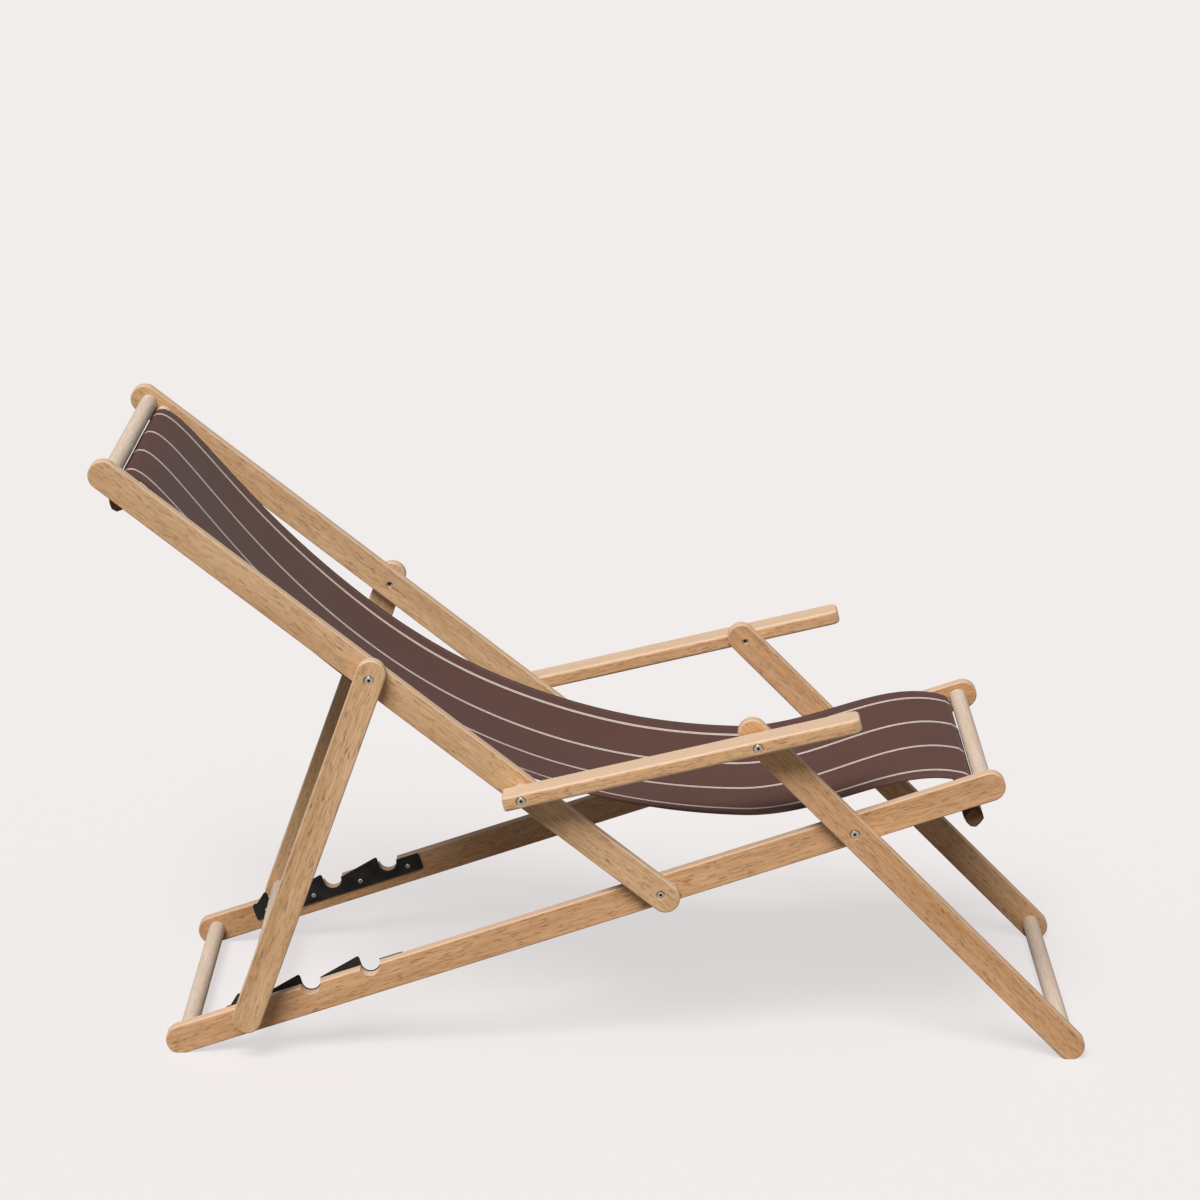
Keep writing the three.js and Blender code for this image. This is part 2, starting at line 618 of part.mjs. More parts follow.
// The middle line of the cloth from one stick to the other: up through the gap between the
// two head bars, over the sling bar, down the sag and up again, and over the front bar.
function slingLine() {
  const leave = Math.PI / 2 - radians(HEAD_SLOPE);
  const meet = Math.PI / 2 + radians(FRONT_SLOPE);
  const start = polar(headPlace, wrapRadius, leave);
  const end = polar(frontPlace, wrapRadius, meet);
  const low = levelPoint(backPivot).add(new THREE.Vector2(LOW_AHEAD, LOW_ABOVE));
  const path = new THREE.Path();
  path.moveTo(headStick.x, headStick.y + STICK_SIZE / 2);
  path.lineTo(headStick.x, headPlace.y);
  path.absarc(headPlace.x, headPlace.y, wrapRadius, Math.PI, leave, true);
  const headPull = polar(start, HEAD_PULL, -radians(HEAD_SLOPE));
  path.bezierCurveTo(headPull.x, headPull.y, low.x - LOW_PULL_BACK, low.y, low.x, low.y);
  const frontPull = polar(end, -FRONT_PULL, radians(FRONT_SLOPE));
  path.bezierCurveTo(low.x + LOW_PULL_FRONT, low.y, frontPull.x, frontPull.y, end.x, end.y);
  path.absarc(frontPlace.x, frontPlace.y, wrapRadius, meet, 0, true);
  path.lineTo(frontStick.x, frontStick.y + STICK_SIZE / 2);
  return path.getPoints(SLING_STEPS);
}

// A band of even thickness along a line of points.
function band(points, thickness) {
  const kept = points.filter((point, index) =>
    index === 0 || point.distanceTo(points[index - 1]) > 0.01);
  const edge = (offset) => kept.map((point, index) => {
    const before = kept[Math.max(index - 1, 0)];
    const after = kept[Math.min(index + 1, kept.length - 1)];
    const step = after.clone().sub(before).normalize();
    return new THREE.Vector2(point.x - step.y * offset, point.y + step.x * offset);
  });
  return new THREE.Shape([...edge(-thickness / 2), ...edge(thickness / 2).reverse()]);
}

// A square with round corners, turned about its centre.
function stickOutline(centre, size, corner, turn) {
  const half = size / 2;
  const square = roundedOutline(-half, half, -half, half, corner, corner);
  const points = square.getPoints(CURVE_STEPS / 2).map((point) =>
    point.rotateAround(origin2, radians(turn)).add(centre));
  return new THREE.Shape(points);
}

function hemTube(centre, turn) {
  const inside = FIT;
  const outside = FIT + SLING_THICKNESS;
  const outer = stickOutline(centre, STICK_SIZE + 2 * outside, STICK_CORNER + outside, turn);
  const inner = stickOutline(centre, STICK_SIZE + 2 * inside, STICK_CORNER + inside, turn);
  const across = SLING_HALF_WIDTH;
  return cut(board(outer, -across, across), [board(inner, -across - 1, across + 1)]);
}

function sling() {
  const sheet = board(band(slingLine(), SLING_THICKNESS), -SLING_HALF_WIDTH, SLING_HALF_WIDTH);
  const stickHoles = [[headStick, HEAD_STICK_TURN], [frontStick, FRONT_STICK_TURN]];
  let solid = solidOf(sheet);
  for (const [centre, turn] of stickHoles) {
    const hole = stickOutline(centre, STICK_SIZE + 2 * FIT, STICK_CORNER + FIT, turn);
    solid = solid.add(solidOf(hemTube(centre, turn)));
    solid = solid.subtract(solidOf(board(hole, -SLING_HALF_WIDTH - 1, SLING_HALF_WIDTH + 1)));
  }
  return geometryOf(solid);
}

function stick(centre, turn) {
  return board(stickOutline(centre, STICK_SIZE, STICK_CORNER, turn),
    -SLING_HALF_WIDTH, SLING_HALF_WIDTH);
}

addMesh(chair, "sling", sling(), cloth());
addMesh(chair, "head_stick", stick(headStick, HEAD_STICK_TURN), stickwood());
addMesh(chair, "front_stick", stick(frontStick, FRONT_STICK_TURN), stickwood());

export default chair;
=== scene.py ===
import json
import math

import bmesh
import bpy
from mathutils import Matrix, Vector, geometry, noise


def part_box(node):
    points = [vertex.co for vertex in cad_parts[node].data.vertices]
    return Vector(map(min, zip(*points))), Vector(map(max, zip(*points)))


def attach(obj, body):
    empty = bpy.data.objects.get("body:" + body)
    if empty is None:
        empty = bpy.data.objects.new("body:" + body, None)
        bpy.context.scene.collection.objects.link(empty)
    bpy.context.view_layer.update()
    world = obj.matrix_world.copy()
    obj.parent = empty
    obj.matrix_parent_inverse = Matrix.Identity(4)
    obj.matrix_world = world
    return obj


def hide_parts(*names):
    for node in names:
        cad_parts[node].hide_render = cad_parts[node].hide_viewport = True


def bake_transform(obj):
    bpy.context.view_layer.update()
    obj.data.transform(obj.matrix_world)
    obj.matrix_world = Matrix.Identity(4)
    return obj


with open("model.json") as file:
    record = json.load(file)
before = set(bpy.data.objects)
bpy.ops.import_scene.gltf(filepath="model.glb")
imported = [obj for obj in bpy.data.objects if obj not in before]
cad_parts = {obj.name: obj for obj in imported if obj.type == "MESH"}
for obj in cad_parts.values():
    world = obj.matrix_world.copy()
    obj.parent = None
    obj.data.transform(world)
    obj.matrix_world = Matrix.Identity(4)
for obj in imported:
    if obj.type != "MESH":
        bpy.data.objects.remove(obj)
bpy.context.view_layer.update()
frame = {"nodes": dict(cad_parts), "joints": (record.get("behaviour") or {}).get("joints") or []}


# ---- Camera ----
# A long lens a little above the armrests, square to the chair's right side, so that both
# sides of the frame are seen one above the other.

AIM = Vector((0.0063, 0, 0.5817))
CAMERA_AZIMUTH = math.radians(0.18)
CAMERA_ELEVATION = math.radians(14.3)
CAMERA_DISTANCE = 5.785

lens = bpy.data.cameras.new("camera")
lens.sensor_width = 36
lens.lens = 124.2
camera = bpy.data.objects.new("camera", lens)
bpy.context.scene.collection.objects.link(camera)
flat_distance = CAMERA_DISTANCE * math.cos(CAMERA_ELEVATION)
camera.location = AIM + Vector((
    flat_distance * math.sin(CAMERA_AZIMUTH),
    -flat_distance * math.cos(CAMERA_AZIMUTH),
    CAMERA_DISTANCE * math.sin(CAMERA_ELEVATION),
))
camera.rotation_euler = (AIM - camera.location).to_track_quat("-Z", "Y").to_euler()
bpy.context.scene.camera = camera
bpy.context.scene.view_settings.view_transform = "Standard"


# ---- Floor and light ----
# A seamless pale studio floor that glows a little towards the camera, an even sky, and one
# large soft light from high on the camera's side.

def shade(red, green, blue):
    """A colour given from 0 to 255 as it looks, as the linear colour that a shader takes."""
    parts = [channel / 255 for channel in (red, green, blue)]
    linear = [((part + 0.055) / 1.055) ** 2.4 if part > 0.04 else part / 12.92 for part in parts]
    return (*linear, 1)


def new_material(name, **sockets):
    """A material whose Principled BSDF has these constants, and that shader."""
    material = bpy.data.materials.new(name)
    material.use_nodes = True
    shader = material.node_tree.nodes["Principled BSDF"]
    for socket, value in sockets.items():
        words = socket.replace("_", " ").title().replace("Ior", "IOR")
        shader.inputs[words].default_value = value
    return material, shader


FLOOR_REACH = 60
FLOOR_GLOW = 0.715

floor_mesh = bmesh.new()
bmesh.ops.create_grid(floor_mesh, x_segments=1, y_segments=1, size=FLOOR_REACH)
floor_data = bpy.data.meshes.new("studio_floor")
floor_mesh.to_mesh(floor_data)
floor_mesh.free()
floor = bpy.data.objects.new("studio_floor", floor_data)
bpy.context.scene.collection.objects.link(floor)
floor_paint, floor_shader = new_material("floor_paint", base_color=shade(132, 131, 129),
                                         roughness=0.9, emission_color=shade(243, 238, 238))
seen = floor_paint.node_tree.nodes.new("ShaderNodeLightPath")
glow = floor_paint.node_tree.nodes.new("ShaderNodeMath")
glow.operation = "MULTIPLY"
glow.inputs[1].default_value = FLOOR_GLOW
floor_paint.node_tree.links.new(seen.outputs["Is Camera Ray"], glow.inputs[0])
floor_paint.node_tree.links.new(glow.outputs["Value"], floor_shader.inputs["Emission Strength"])
floor_data.materials.append(floor_paint)

sky = bpy.data.worlds.new("studio")
sky.use_nodes = True
sky.node_tree.nodes["Background"].inputs["Color"].default_value = shade(250, 249, 247)
sky.node_tree.nodes["Background"].inputs["Strength"].default_value = 0.22
bpy.context.scene.world = sky

lamp = bpy.data.lights.new("soft_light", "SUN")
lamp.energy = 3.1
lamp.angle = math.radians(30)
lamp.color = (1, 0.985, 0.965)
soft_light = bpy.data.objects.new("soft_light", lamp)
soft_light.rotation_euler = Vector((0.25, 0.75, -1)).to_track_quat("-Z", "Y").to_euler()
bpy.context.scene.collection.objects.link(soft_light)


# ---- Seat rails ----
# The two long innermost rails of hardwood, each rounded at both ends, with three notches for
# the prop bar in its top edge. Holes are bored for the bolts and, part way, for the bars.

def calculator(nodes):
    """A function that adds a math node to these nodes, on sockets and numbers."""
    def calculate(operation, *terms):
        node = nodes.new("ShaderNodeMath")
        node.operation = operation
        for socket, term in zip(node.inputs, terms):
            if isinstance(term, (int, float)):
                socket.default_value = term
            else:
                node.id_data.links.new(term, socket)
        return node.outputs["Value"]
    return calculate


def mixer(nodes):
    """A function that adds a colour mix to these nodes, on sockets and colours."""
    def mixed(amount, first, second, blend="MIX"):
        node = nodes.new("ShaderNodeMix")
        node.data_type = "RGBA"
        node.blend_type = blend
        for term, socket in ((amount, 0), (first, 6), (second, 7)):
            if isinstance(term, tuple):
                node.inputs[socket].default_value = term
            else:
                node.id_data.links.new(term, node.inputs[socket])
        return node.outputs[2]
    return mixed


def stretcher(nodes, vector):
    """A function that adds noise on this vector to these nodes, with a scale for each axis."""
    def stretched_noise(scale, detail, roughness=0.5):
        stretch = nodes.new("ShaderNodeMapping")
        stretch.inputs["Scale"].default_value = scale
        node_tree = stretch.id_data
        node_tree.links.new(vector, stretch.inputs["Vector"])
        texture = nodes.new("ShaderNodeTexNoise")
        texture.inputs["Scale"].default_value = 1
        texture.inputs["Detail"].default_value = detail
        texture.inputs["Roughness"].default_value = roughness
        node_tree.links.new(stretch.outputs["Vector"], texture.inputs["Vector"])
        return texture.outputs["Fac"]
    return stretched_noise


def wood_grain_group():
    """The figure of sawn wood along its own X: broad bands, growth lines and fine pores."""
    group = bpy.data.node_groups.new("wood_grain", "ShaderNodeTree")
    inputs = (("Vector", "NodeSocketVector"), ("Pale", "NodeSocketColor"),
              ("Dark", "NodeSocketColor"), ("Pore", "NodeSocketColor"),
              ("Figure", "NodeSocketFloat"), ("Pores", "NodeSocketFloat"))
    for name, kind in inputs:
        group.interface.new_socket(name, in_out="INPUT", socket_type=kind)
    group.interface.new_socket("Color", in_out="OUTPUT", socket_type="NodeSocketColor")
    group.interface.new_socket("Height", in_out="OUTPUT", socket_type="NodeSocketFloat")
    nodes, link = group.nodes, group.links.new
    entry = nodes.new("NodeGroupInput")
    leaving = nodes.new("NodeGroupOutput")
    calculate, mixed = calculator(nodes), mixer(nodes)
    stretched_noise = stretcher(nodes, entry.outputs["Vector"])

    def between(value, low, high):
        node = nodes.new("ShaderNodeMapRange")
        node.interpolation_type = "SMOOTHSTEP"
        link(value, node.inputs["Value"])
        node.inputs["From Min"].default_value = low
        node.inputs["From Max"].default_value = high
        return node.outputs["Result"]

    bands = between(stretched_noise((2.2, 26, 26), 3), 0.3, 0.7)
    rings = stretched_noise((0.9, 26, 26), 1)
    growth = calculate("SINE", calculate("MULTIPLY", rings, 60))
    growth_lines = between(growth, -0.3, 1)
    fibres = between(stretched_noise((24, 420, 420), 3, 0.7), 0.3, 0.7)
    pores = between(stretched_noise((75, 620, 620), 2), 0.54, 0.66)
    patches = between(stretched_noise((45, 60, 60), 2), 0.35, 0.65)
    figure = calculate("ADD", calculate("MULTIPLY", bands, 0.36),
                       calculate("ADD", calculate("MULTIPLY", growth_lines, 0.1),
                                 calculate("MULTIPLY", fibres, 0.5)))
    tone = mixed(calculate("MULTIPLY", figure, entry.outputs["Figure"]),
                 entry.outputs["Pale"], entry.outputs["Dark"])
    patchiness = calculate("ADD", calculate("MULTIPLY", patches, 0.5), 0.5)
    open_pores = calculate("MULTIPLY", pores, patchiness)
    darkened = calculate("MULTIPLY", open_pores, entry.outputs["Pores"])
    height = calculate("SUBTRACT", calculate("MULTIPLY", fibres, 0.4), open_pores)
    link(mixed(darkened, tone, entry.outputs["Pore"]), leaving.inputs["Color"])
    link(height, leaving.inputs["Height"])
    return group


wood_grain = wood_grain_group()

RED_CAST = (1, 0.86, 0.77, 1)  # what the warmest wood's colour is multiplied by


def wood_material(name, pale, dark, pore, figure, pores, roughness, edge_highlight=None, edge_highlight_share=0.0):
    """Wood with its grain along the piece, redder by the piece's own warmth. Its edges, which
    don't face straight out, are painted paler where a colour is given for them: a painted
    highlight."""
    material, shader = new_material(name, roughness=roughness, specular_ior_level=0.35)
    nodes, link = material.node_tree.nodes, material.node_tree.links.new
    own = nodes.new("ShaderNodeAttribute")
    own.attribute_name = "grain"
    grain = nodes.new("ShaderNodeGroup")
    grain.node_tree = wood_grain
    link(own.outputs["Vector"], grain.inputs["Vector"])
    grain.inputs["Pale"].default_value = pale
    grain.inputs["Dark"].default_value = dark
    grain.inputs["Pore"].default_value = pore
    grain.inputs["Figure"].default_value = figure
    grain.inputs["Pores"].default_value = pores
    warmth = nodes.new("ShaderNodeAttribute")
    warmth.attribute_name = "warmth"
    calculate, mixed = calculator(nodes), mixer(nodes)
    colour = mixed(warmth.outputs["Fac"], grain.outputs["Color"], RED_CAST, "MULTIPLY")
    # Painted highlight: the faces that don't face across the chair, the rails' narrow edges and the
    # armrests' tops, are painted paler, as where light from above falls on them.
    if edge_highlight:
        facing = nodes.new("ShaderNodeTexCoord")
        parts = nodes.new("ShaderNodeSeparateXYZ")
        link(facing.outputs["Normal"], parts.inputs["Vector"])
        ramp = nodes.new("ShaderNodeValToRGB")
        ramp.color_ramp.elements[0].position = 0.0
        ramp.color_ramp.elements[0].color = (0.8, 0.8, 0.8, 1)
        ramp.color_ramp.elements[1].position = 0.97
        ramp.color_ramp.elements[1].color = (0, 0, 0, 1)
        middle = ramp.color_ramp.elements.new(0.5)
        middle.color = (1, 1, 1, 1)
        link(calculate("ABSOLUTE", parts.outputs["Y"]), ramp.inputs["Fac"])
        colour = mixed(calculate("MULTIPLY", ramp.outputs["Color"], edge_highlight_share), colour, edge_highlight)
    link(colour, shader.inputs["Base Color"])
    bump = nodes.new("ShaderNodeBump")
    bump.inputs["Strength"].default_value = 0.25
    bump.inputs["Distance"].default_value = 0.0006
    link(grain.outputs["Height"], bump.inputs["Height"])
    link(bump.outputs["Normal"], shader.inputs["Normal"])
    return material


# The hardwood's edge colour is a painted highlight on its tops and edges.
hardwood = wood_material(
    "oiled_hardwood", pale=shade(229, 192, 150), dark=shade(184, 141, 98), pore=shade(124, 86, 54),
    figure=1.0, pores=0.6, roughness=0.6, edge_highlight=shade(242, 215, 190), edge_highlight_share=0.75)

pivot_at = {joint["name"]: Vector(joint["pos_m"]) for joint in frame["joints"]}
SIDES = {"left": 1, "right": -1}


def middle_of(node):
    """The middle of a frame node's box, brought to the chair's middle plane."""
    low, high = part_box(node)
    return Vector(((low.x + high.x) / 2, 0, (low.z + high.z) / 2))


def along_line(start, end):
    """Where a piece goes that is drawn along +X from the origin, to run from start towards end."""
    way = end - start
    slope = Matrix.Rotation(math.atan2(-way.z, way.x), 4, "Y")
    return Matrix.Translation((start.x, 0, start.z)) @ slope


def own_box(node, place):
    """A frame node's lowest and highest corners in the directions of its own length."""
    back = place.inverted()
    points = [back @ vertex.co for vertex in frame["nodes"][node].data.vertices]
    low, high = (Vector([pick(point[axis] for point in points) for axis in range(3)])
                 for pick in (min, max))
    return low, high


def new_piece(mesh, name):
    """A new object from a bmesh, which is freed."""
    data = bpy.data.meshes.new(name)
    mesh.to_mesh(data)
    mesh.free()
    piece = bpy.data.objects.new(name, data)
    bpy.context.scene.collection.objects.link(piece)
    return piece


def remove(piece):
    """Removes a piece and its mesh."""
    data = piece.data
    bpy.data.objects.remove(piece)
    bpy.data.meshes.remove(data)


def cut_away(piece, cutter):
    """Cuts the cutter out of the piece for good, and removes the cutter."""
    knife = piece.modifiers.new("cut", "BOOLEAN")
    knife.operation = "DIFFERENCE"
    knife.solver = "EXACT"
    knife.object = cutter
    depsgraph = bpy.context.evaluated_depsgraph_get()
    done = bpy.data.meshes.new_from_object(piece.evaluated_get(depsgraph))
    old = piece.data
    piece.modifiers.clear()
    piece.data = done
    bpy.data.meshes.remove(old)
    done.name = piece.name
    remove(cutter)


def turned(mesh, profile, centre=(0, 0, 0), side=1, steps=32):
    """Adds a turned solid: profile is [radius, distance along Y], from the axis to the axis."""
    verts = [mesh.verts.new((radius, along, 0)) for radius, along in profile]
    edges = [mesh.edges.new(pair) for pair in zip(verts, verts[1:])]
    bmesh.ops.spin(mesh, geom=verts + edges, axis=(0, 1, 0), angle=2 * math.pi, steps=steps,
                   use_merge=True)
    whole = [v for v in mesh.verts if not v.tag]
    bmesh.ops.scale(mesh, verts=whole, vec=(1, side, 1))
    bmesh.ops.translate(mesh, verts=whole, vec=centre)
    for vert in whole:
        vert.tag = True
    bmesh.ops.remove_doubles(mesh, verts=mesh.verts, dist=1e-6)
    bmesh.ops.recalc_face_normals(mesh, faces=mesh.faces)


def settle(piece, place, seed, warmth=0.0):
    """Keeps the piece's own coordinates for its grain, then takes the piece to its place."""
    data = piece.data
    for value in data.attributes.new("warmth", "FLOAT", "POINT").data:
        value.value = warmth
    grain = data.attributes.new("grain", "FLOAT_VECTOR", "POINT")
    shift = Vector((0.61, 0.173, 0.259)) * seed
    for vertex, value in zip(data.vertices, grain.data):
        value.vector = vertex.co + shift
    data.transform(place)
    data.shade_smooth()
    data.set_sharp_from_angle(angle=math.radians(40))
    even = piece.modifiers.new("even_normals", "WEIGHTED_NORMAL")
    even.keep_sharp = True


def hand_over(piece, material, slot, body, *nodes):
    """Gives a finished piece its material and its body, and hides the frame nodes that it stands
    for.
    """
    piece.data.materials.clear()
    piece.data.materials.append(material)
    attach(piece, body)
    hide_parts(*nodes)


RAIL_END_STEPS = 64
EASED_EDGE = 0.0022
HOLE = 0.0047
COUNTERBORE = (0.0073, 0.0045)
NUT_RING = (0.0065, 0.002)
BAR_FIT = 0.0003
PAST = 0.001  # how far a cutter stands out of what it cuts


def rail_blank(low, high):
    """A rail with two round ends and rounded-off edges, between two corners of its own box."""
    mesh = bmesh.new()
    half_step = math.pi / RAIL_END_STEPS
    radius = (high.z - low.z) / 2
    bmesh.ops.create_circle(mesh, cap_ends=True, segments=RAIL_END_STEPS,
                            radius=radius / math.cos(half_step))
    bmesh.ops.rotate(mesh, verts=mesh.verts, matrix=Matrix.Rotation(half_step, 3, "Z"))
    bmesh.ops.rotate(mesh, verts=mesh.verts, matrix=Matrix.Rotation(math.pi / 2, 3, "X"))
    front = [vert for vert in mesh.verts if vert.co.x > 0]
    rear = [vert for vert in mesh.verts if vert.co.x < 0]
    bmesh.ops.translate(mesh, verts=front, vec=(high.x - radius, low.y, (low.z + high.z) / 2))
    bmesh.ops.translate(mesh, verts=rear, vec=(low.x + radius, low.y, (low.z + high.z) / 2))
    grown = bmesh.ops.extrude_face_region(mesh, geom=mesh.faces[:])["geom"]
    lifted = [part for part in grown if isinstance(part, bmesh.types.BMVert)]
    bmesh.ops.translate(mesh, verts=lifted, vec=(0, high.y - low.y, 0))
    bmesh.ops.recalc_face_normals(mesh, faces=mesh.faces)
    outline = [edge for edge in mesh.edges if abs(edge.verts[0].co.y - edge.verts[1].co.y) < 1e-6]
    bmesh.ops.bevel(mesh, geom=outline, offset=EASED_EDGE, segments=3, profile=0.5, affect="EDGES",
                    material=-1, clamp_overlap=True)
    return mesh


def bore(mesh, at, side, box, inner=None, outer=None, through=HOLE):
    """Adds a cutter at a point of a rail: a bore in its inner face, one in its outer face, each
    a radius and a depth, and a hole through it."""
    faces = sorted((abs(box[0].y), abs(box[1].y)))
    thickness = faces[1] - faces[0]
    profile = [(0, -PAST)]
    if inner:
        profile += [(inner[0], -PAST), (inner[0], inner[1])]
    if through:
        profile += [(through, inner[1] if inner else -PAST)]
        profile += [(through, thickness - outer[1] if outer else thickness + PAST)]
    if outer:
        profile += [(outer[0], thickness - outer[1]), (outer[0], thickness + PAST)]
    profile += [(0, profile[-1][1])]
    turned(mesh, profile, centre=(at.x, side * faces[0], at.z), side=side)


def blind(mesh, bar, place, side, box):
    """Adds the cutter for a bar's blind hole in a rail's inner face."""
    low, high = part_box(bar)
    radius = (high.z - low.z) / 2 + BAR_FIT
    depth = max(abs(low.y), abs(high.y)) - min(abs(box[0].y), abs(box[1].y)) + BAR_FIT
    bore(mesh, place.inverted() @ middle_of(bar), side, box, inner=(radius, depth), through=None)


def planed(mesh, place, end):
    """Adds a cutter for what the ground takes off a rail's round end."""
    reach = 0.06
    block = bmesh.ops.create_cube(mesh, size=2 * reach)["verts"]
    bmesh.ops.scale(mesh, verts=block, vec=(1, 10, 1))
    bmesh.ops.translate(mesh, verts=block, vec=(end.x, 0, -reach))
    bmesh.ops.transform(mesh, matrix=place.inverted(), verts=block)
    for vert in block:
        vert.tag = True


back_pivot = pivot_at["back_fold"]
leg_pivot = pivot_at["front_leg_fold"]
seat_place = along_line(back_pivot, leg_pivot)

NOTCHES = 3
NOTCH_PITCH = 0.086
WOOD_NOTCH = 0.014

prop_bar_in_seat = seat_place.inverted() @ middle_of("prop_bar")
notch_places = [prop_bar_in_seat.x + index * NOTCH_PITCH for index in range(NOTCHES)]

for number, (side_name, side) in enumerate(SIDES.items()):
    node = f"seat_rail_{side_name}"
    box = own_box(node, seat_place)
    rail = new_piece(rail_blank(*box), f"oak_seat_rail_{side_name}")
    cuts = bmesh.new()
    for bar in ("rear_bar", "front_sling_bar", "front_bar"):
        blind(cuts, bar, seat_place, side, box)
    bore(cuts, Vector((0, 0, 0)), side, box, inner=COUNTERBORE)
    bore(cuts, seat_place.inverted() @ leg_pivot, side, box)
    for x in notch_places:
        bore(cuts, Vector((x, 0, box[1].z)), side, box, through=WOOD_NOTCH)
    planed(cuts, seat_place, seat_place @ Vector((box[0].x, 0, 0)))
    cut_away(rail, new_piece(cuts, "cuts"))
    settle(rail, seat_place, 1 + number, warmth=0.8)
    hand_over(rail, hardwood, "oiled_hardwood", "seat_frame", node)


# ---- Back rails ----
# The two rails that carry the sling's head end, outside the seat rails. The back pivot's nut
# lies in a shallow ring in the outer face.

arm_rear_pivot = pivot_at["armrest_fold"]
prop_pivot = pivot_at["prop_swing"]
back_place = along_line(back_pivot, arm_rear_pivot)

for number, (side_name, side) in enumerate(SIDES.items()):
    node = f"back_rail_{side_name}"
    box = own_box(node, back_place)
    rail = new_piece(rail_blank(*box), f"oak_back_rail_{side_name}")
    cuts = bmesh.new()
    for bar in ("head_sling_bar", "head_bar"):
        blind(cuts, bar, back_place, side, box)
    bore(cuts, Vector((0, 0, 0)), side, box, outer=NUT_RING)
    for pivot in (arm_rear_pivot, prop_pivot):
        bore(cuts, back_place.inverted() @ pivot, side, box)
    cut_away(rail, new_piece(cuts, "cuts"))
    settle(rail, back_place, 3 + number, warmth=0.1)
    hand_over(rail, hardwood, "oiled_hardwood", "back_frame", node)


# ---- Front legs ----
# Two legs in the same layer as the back rails, bolted to the seat rails and, at the top, to
# the armrests. Their lower ends are planed flat where they stand on the ground.

arm_front_pivot = middle_of("arm_front_pivot_nut_left")
leg_place = along_line(leg_pivot, arm_front_pivot)

for number, (side_name, side) in enumerate(SIDES.items()):
    node = f"front_leg_{side_name}"
    box = own_box(node, leg_place)
    leg = new_piece(rail_blank(*box), f"oak_front_leg_{side_name}")
    cuts = bmesh.new()
    blind(cuts, "foot_bar", leg_place, side, box)
    bore(cuts, Vector((0, 0, 0)), side, box, outer=COUNTERBORE)
    bore(cuts, leg_place.inverted() @ arm_front_pivot, side, box)
    planed(cuts, leg_place, leg_place @ Vector((box[0].x, 0, 0)))
    cut_away(leg, new_piece(cuts, "cuts"))
    settle(leg, leg_place, 5 + number, warmth=0.7)
    hand_over(leg, hardwood, "oiled_hardwood", "front_legs", node)


# ---- Prop legs ----
# The outermost pair of rails, which hang from the back and hold it up through the prop bar.

prop_place = along_line(prop_pivot, middle_of("prop_bar"))

for number, (side_name, side) in enumerate(SIDES.items()):
    node = f"prop_leg_{side_name}"
    box = own_box(node, prop_place)
    leg = new_piece(rail_blank(*box), f"oak_prop_leg_{side_name}")
    cuts = bmesh.new()
    blind(cuts, "prop_bar", prop_place, side, box)
    bore(cuts, Vector((0, 0, 0)), side, box, outer=COUNTERBORE)
    cut_away(leg, new_piece(cuts, "cuts"))
    settle(leg, prop_place, 7 + number, warmth=0.2)
    hand_over(leg, hardwood, "oiled_hardwood", "prop_frame", node)


# ---- Armrests ----
# Two flat boards of the same wood, rounded at the front where the hand lies. Each is bolted
# through its outer side to a back rail and to a leg.

ARM_CORNER = 0.012
ARM_EASED_EDGE = 0.0042

arm_place = along_line(arm_rear_pivot, arm_front_pivot)

for number, (side_name, side) in enumerate(SIDES.items()):
    node = f"armrest_{side_name}"
    low, high = box = own_box(node, arm_place)
    mesh = bmesh.new()
    bmesh.ops.create_grid(mesh, x_segments=1, y_segments=1, size=0.5)
    bmesh.ops.scale(mesh, verts=mesh.verts, vec=(high.x - low.x, high.y - low.y, 1))
    bmesh.ops.translate(mesh, verts=mesh.verts,
                        vec=((low.x + high.x) / 2, (low.y + high.y) / 2, low.z))
    for x, radius in ((high.x, ARM_CORNER), (low.x, ARM_EASED_EDGE)):
        corners = [vert for vert in mesh.verts if abs(vert.co.x - x) < 1e-6]
        bmesh.ops.bevel(mesh, geom=corners, offset=radius, segments=8, profile=0.5,
                        affect="VERTICES", material=-1)
    grown = bmesh.ops.extrude_face_region(mesh, geom=mesh.faces[:])["geom"]
    lifted = [part for part in grown if isinstance(part, bmesh.types.BMVert)]
    bmesh.ops.translate(mesh, verts=lifted, vec=(0, 0, high.z - low.z))
    bmesh.ops.recalc_face_normals(mesh, faces=mesh.faces)
    outline = [edge for edge in mesh.edges if abs(edge.verts[0].co.z - edge.verts[1].co.z) < 1e-6]
    bmesh.ops.bevel(mesh, geom=outline, offset=ARM_EASED_EDGE, segments=4, profile=0.5,
                    affect="EDGES", material=-1, clamp_overlap=True)
    armrest = new_piece(mesh, f"oak_armrest_{side_name}")
    cuts = bmesh.new()
    for pivot in (arm_rear_pivot, arm_front_pivot):
        bore(cuts, arm_place.inverted() @ pivot, side, box, outer=COUNTERBORE)
    cut_away(armrest, new_piece(cuts, "cuts"))
    settle(armrest, arm_place, 9 + number, warmth=0.5)
    hand_over(armrest, hardwood, "oiled_hardwood", "armrests", node)


# ---- Round bars ----
# Seven turned bars of a paler wood, glued into blind holes in the rails' inner faces. Two of
# them carry the cloth, a little inside the end bars.

BAR_STEPS = 48
BAR_CHAMFER = 0.0015

barwood = wood_material(
    "pale_bar_wood", pale=shade(242, 224, 207), dark=shade(216, 189, 164),
    pore=shade(182, 148, 120), figure=0.9, pores=0.35, roughness=0.6)

BARS = {
    "rear_bar": "seat_frame", "front_bar": "seat_frame", "front_sling_bar": "seat_frame",
    "head_bar": "back_frame", "head_sling_bar": "back_frame",
    "foot_bar": "front_legs", "prop_bar": "prop_frame",
}

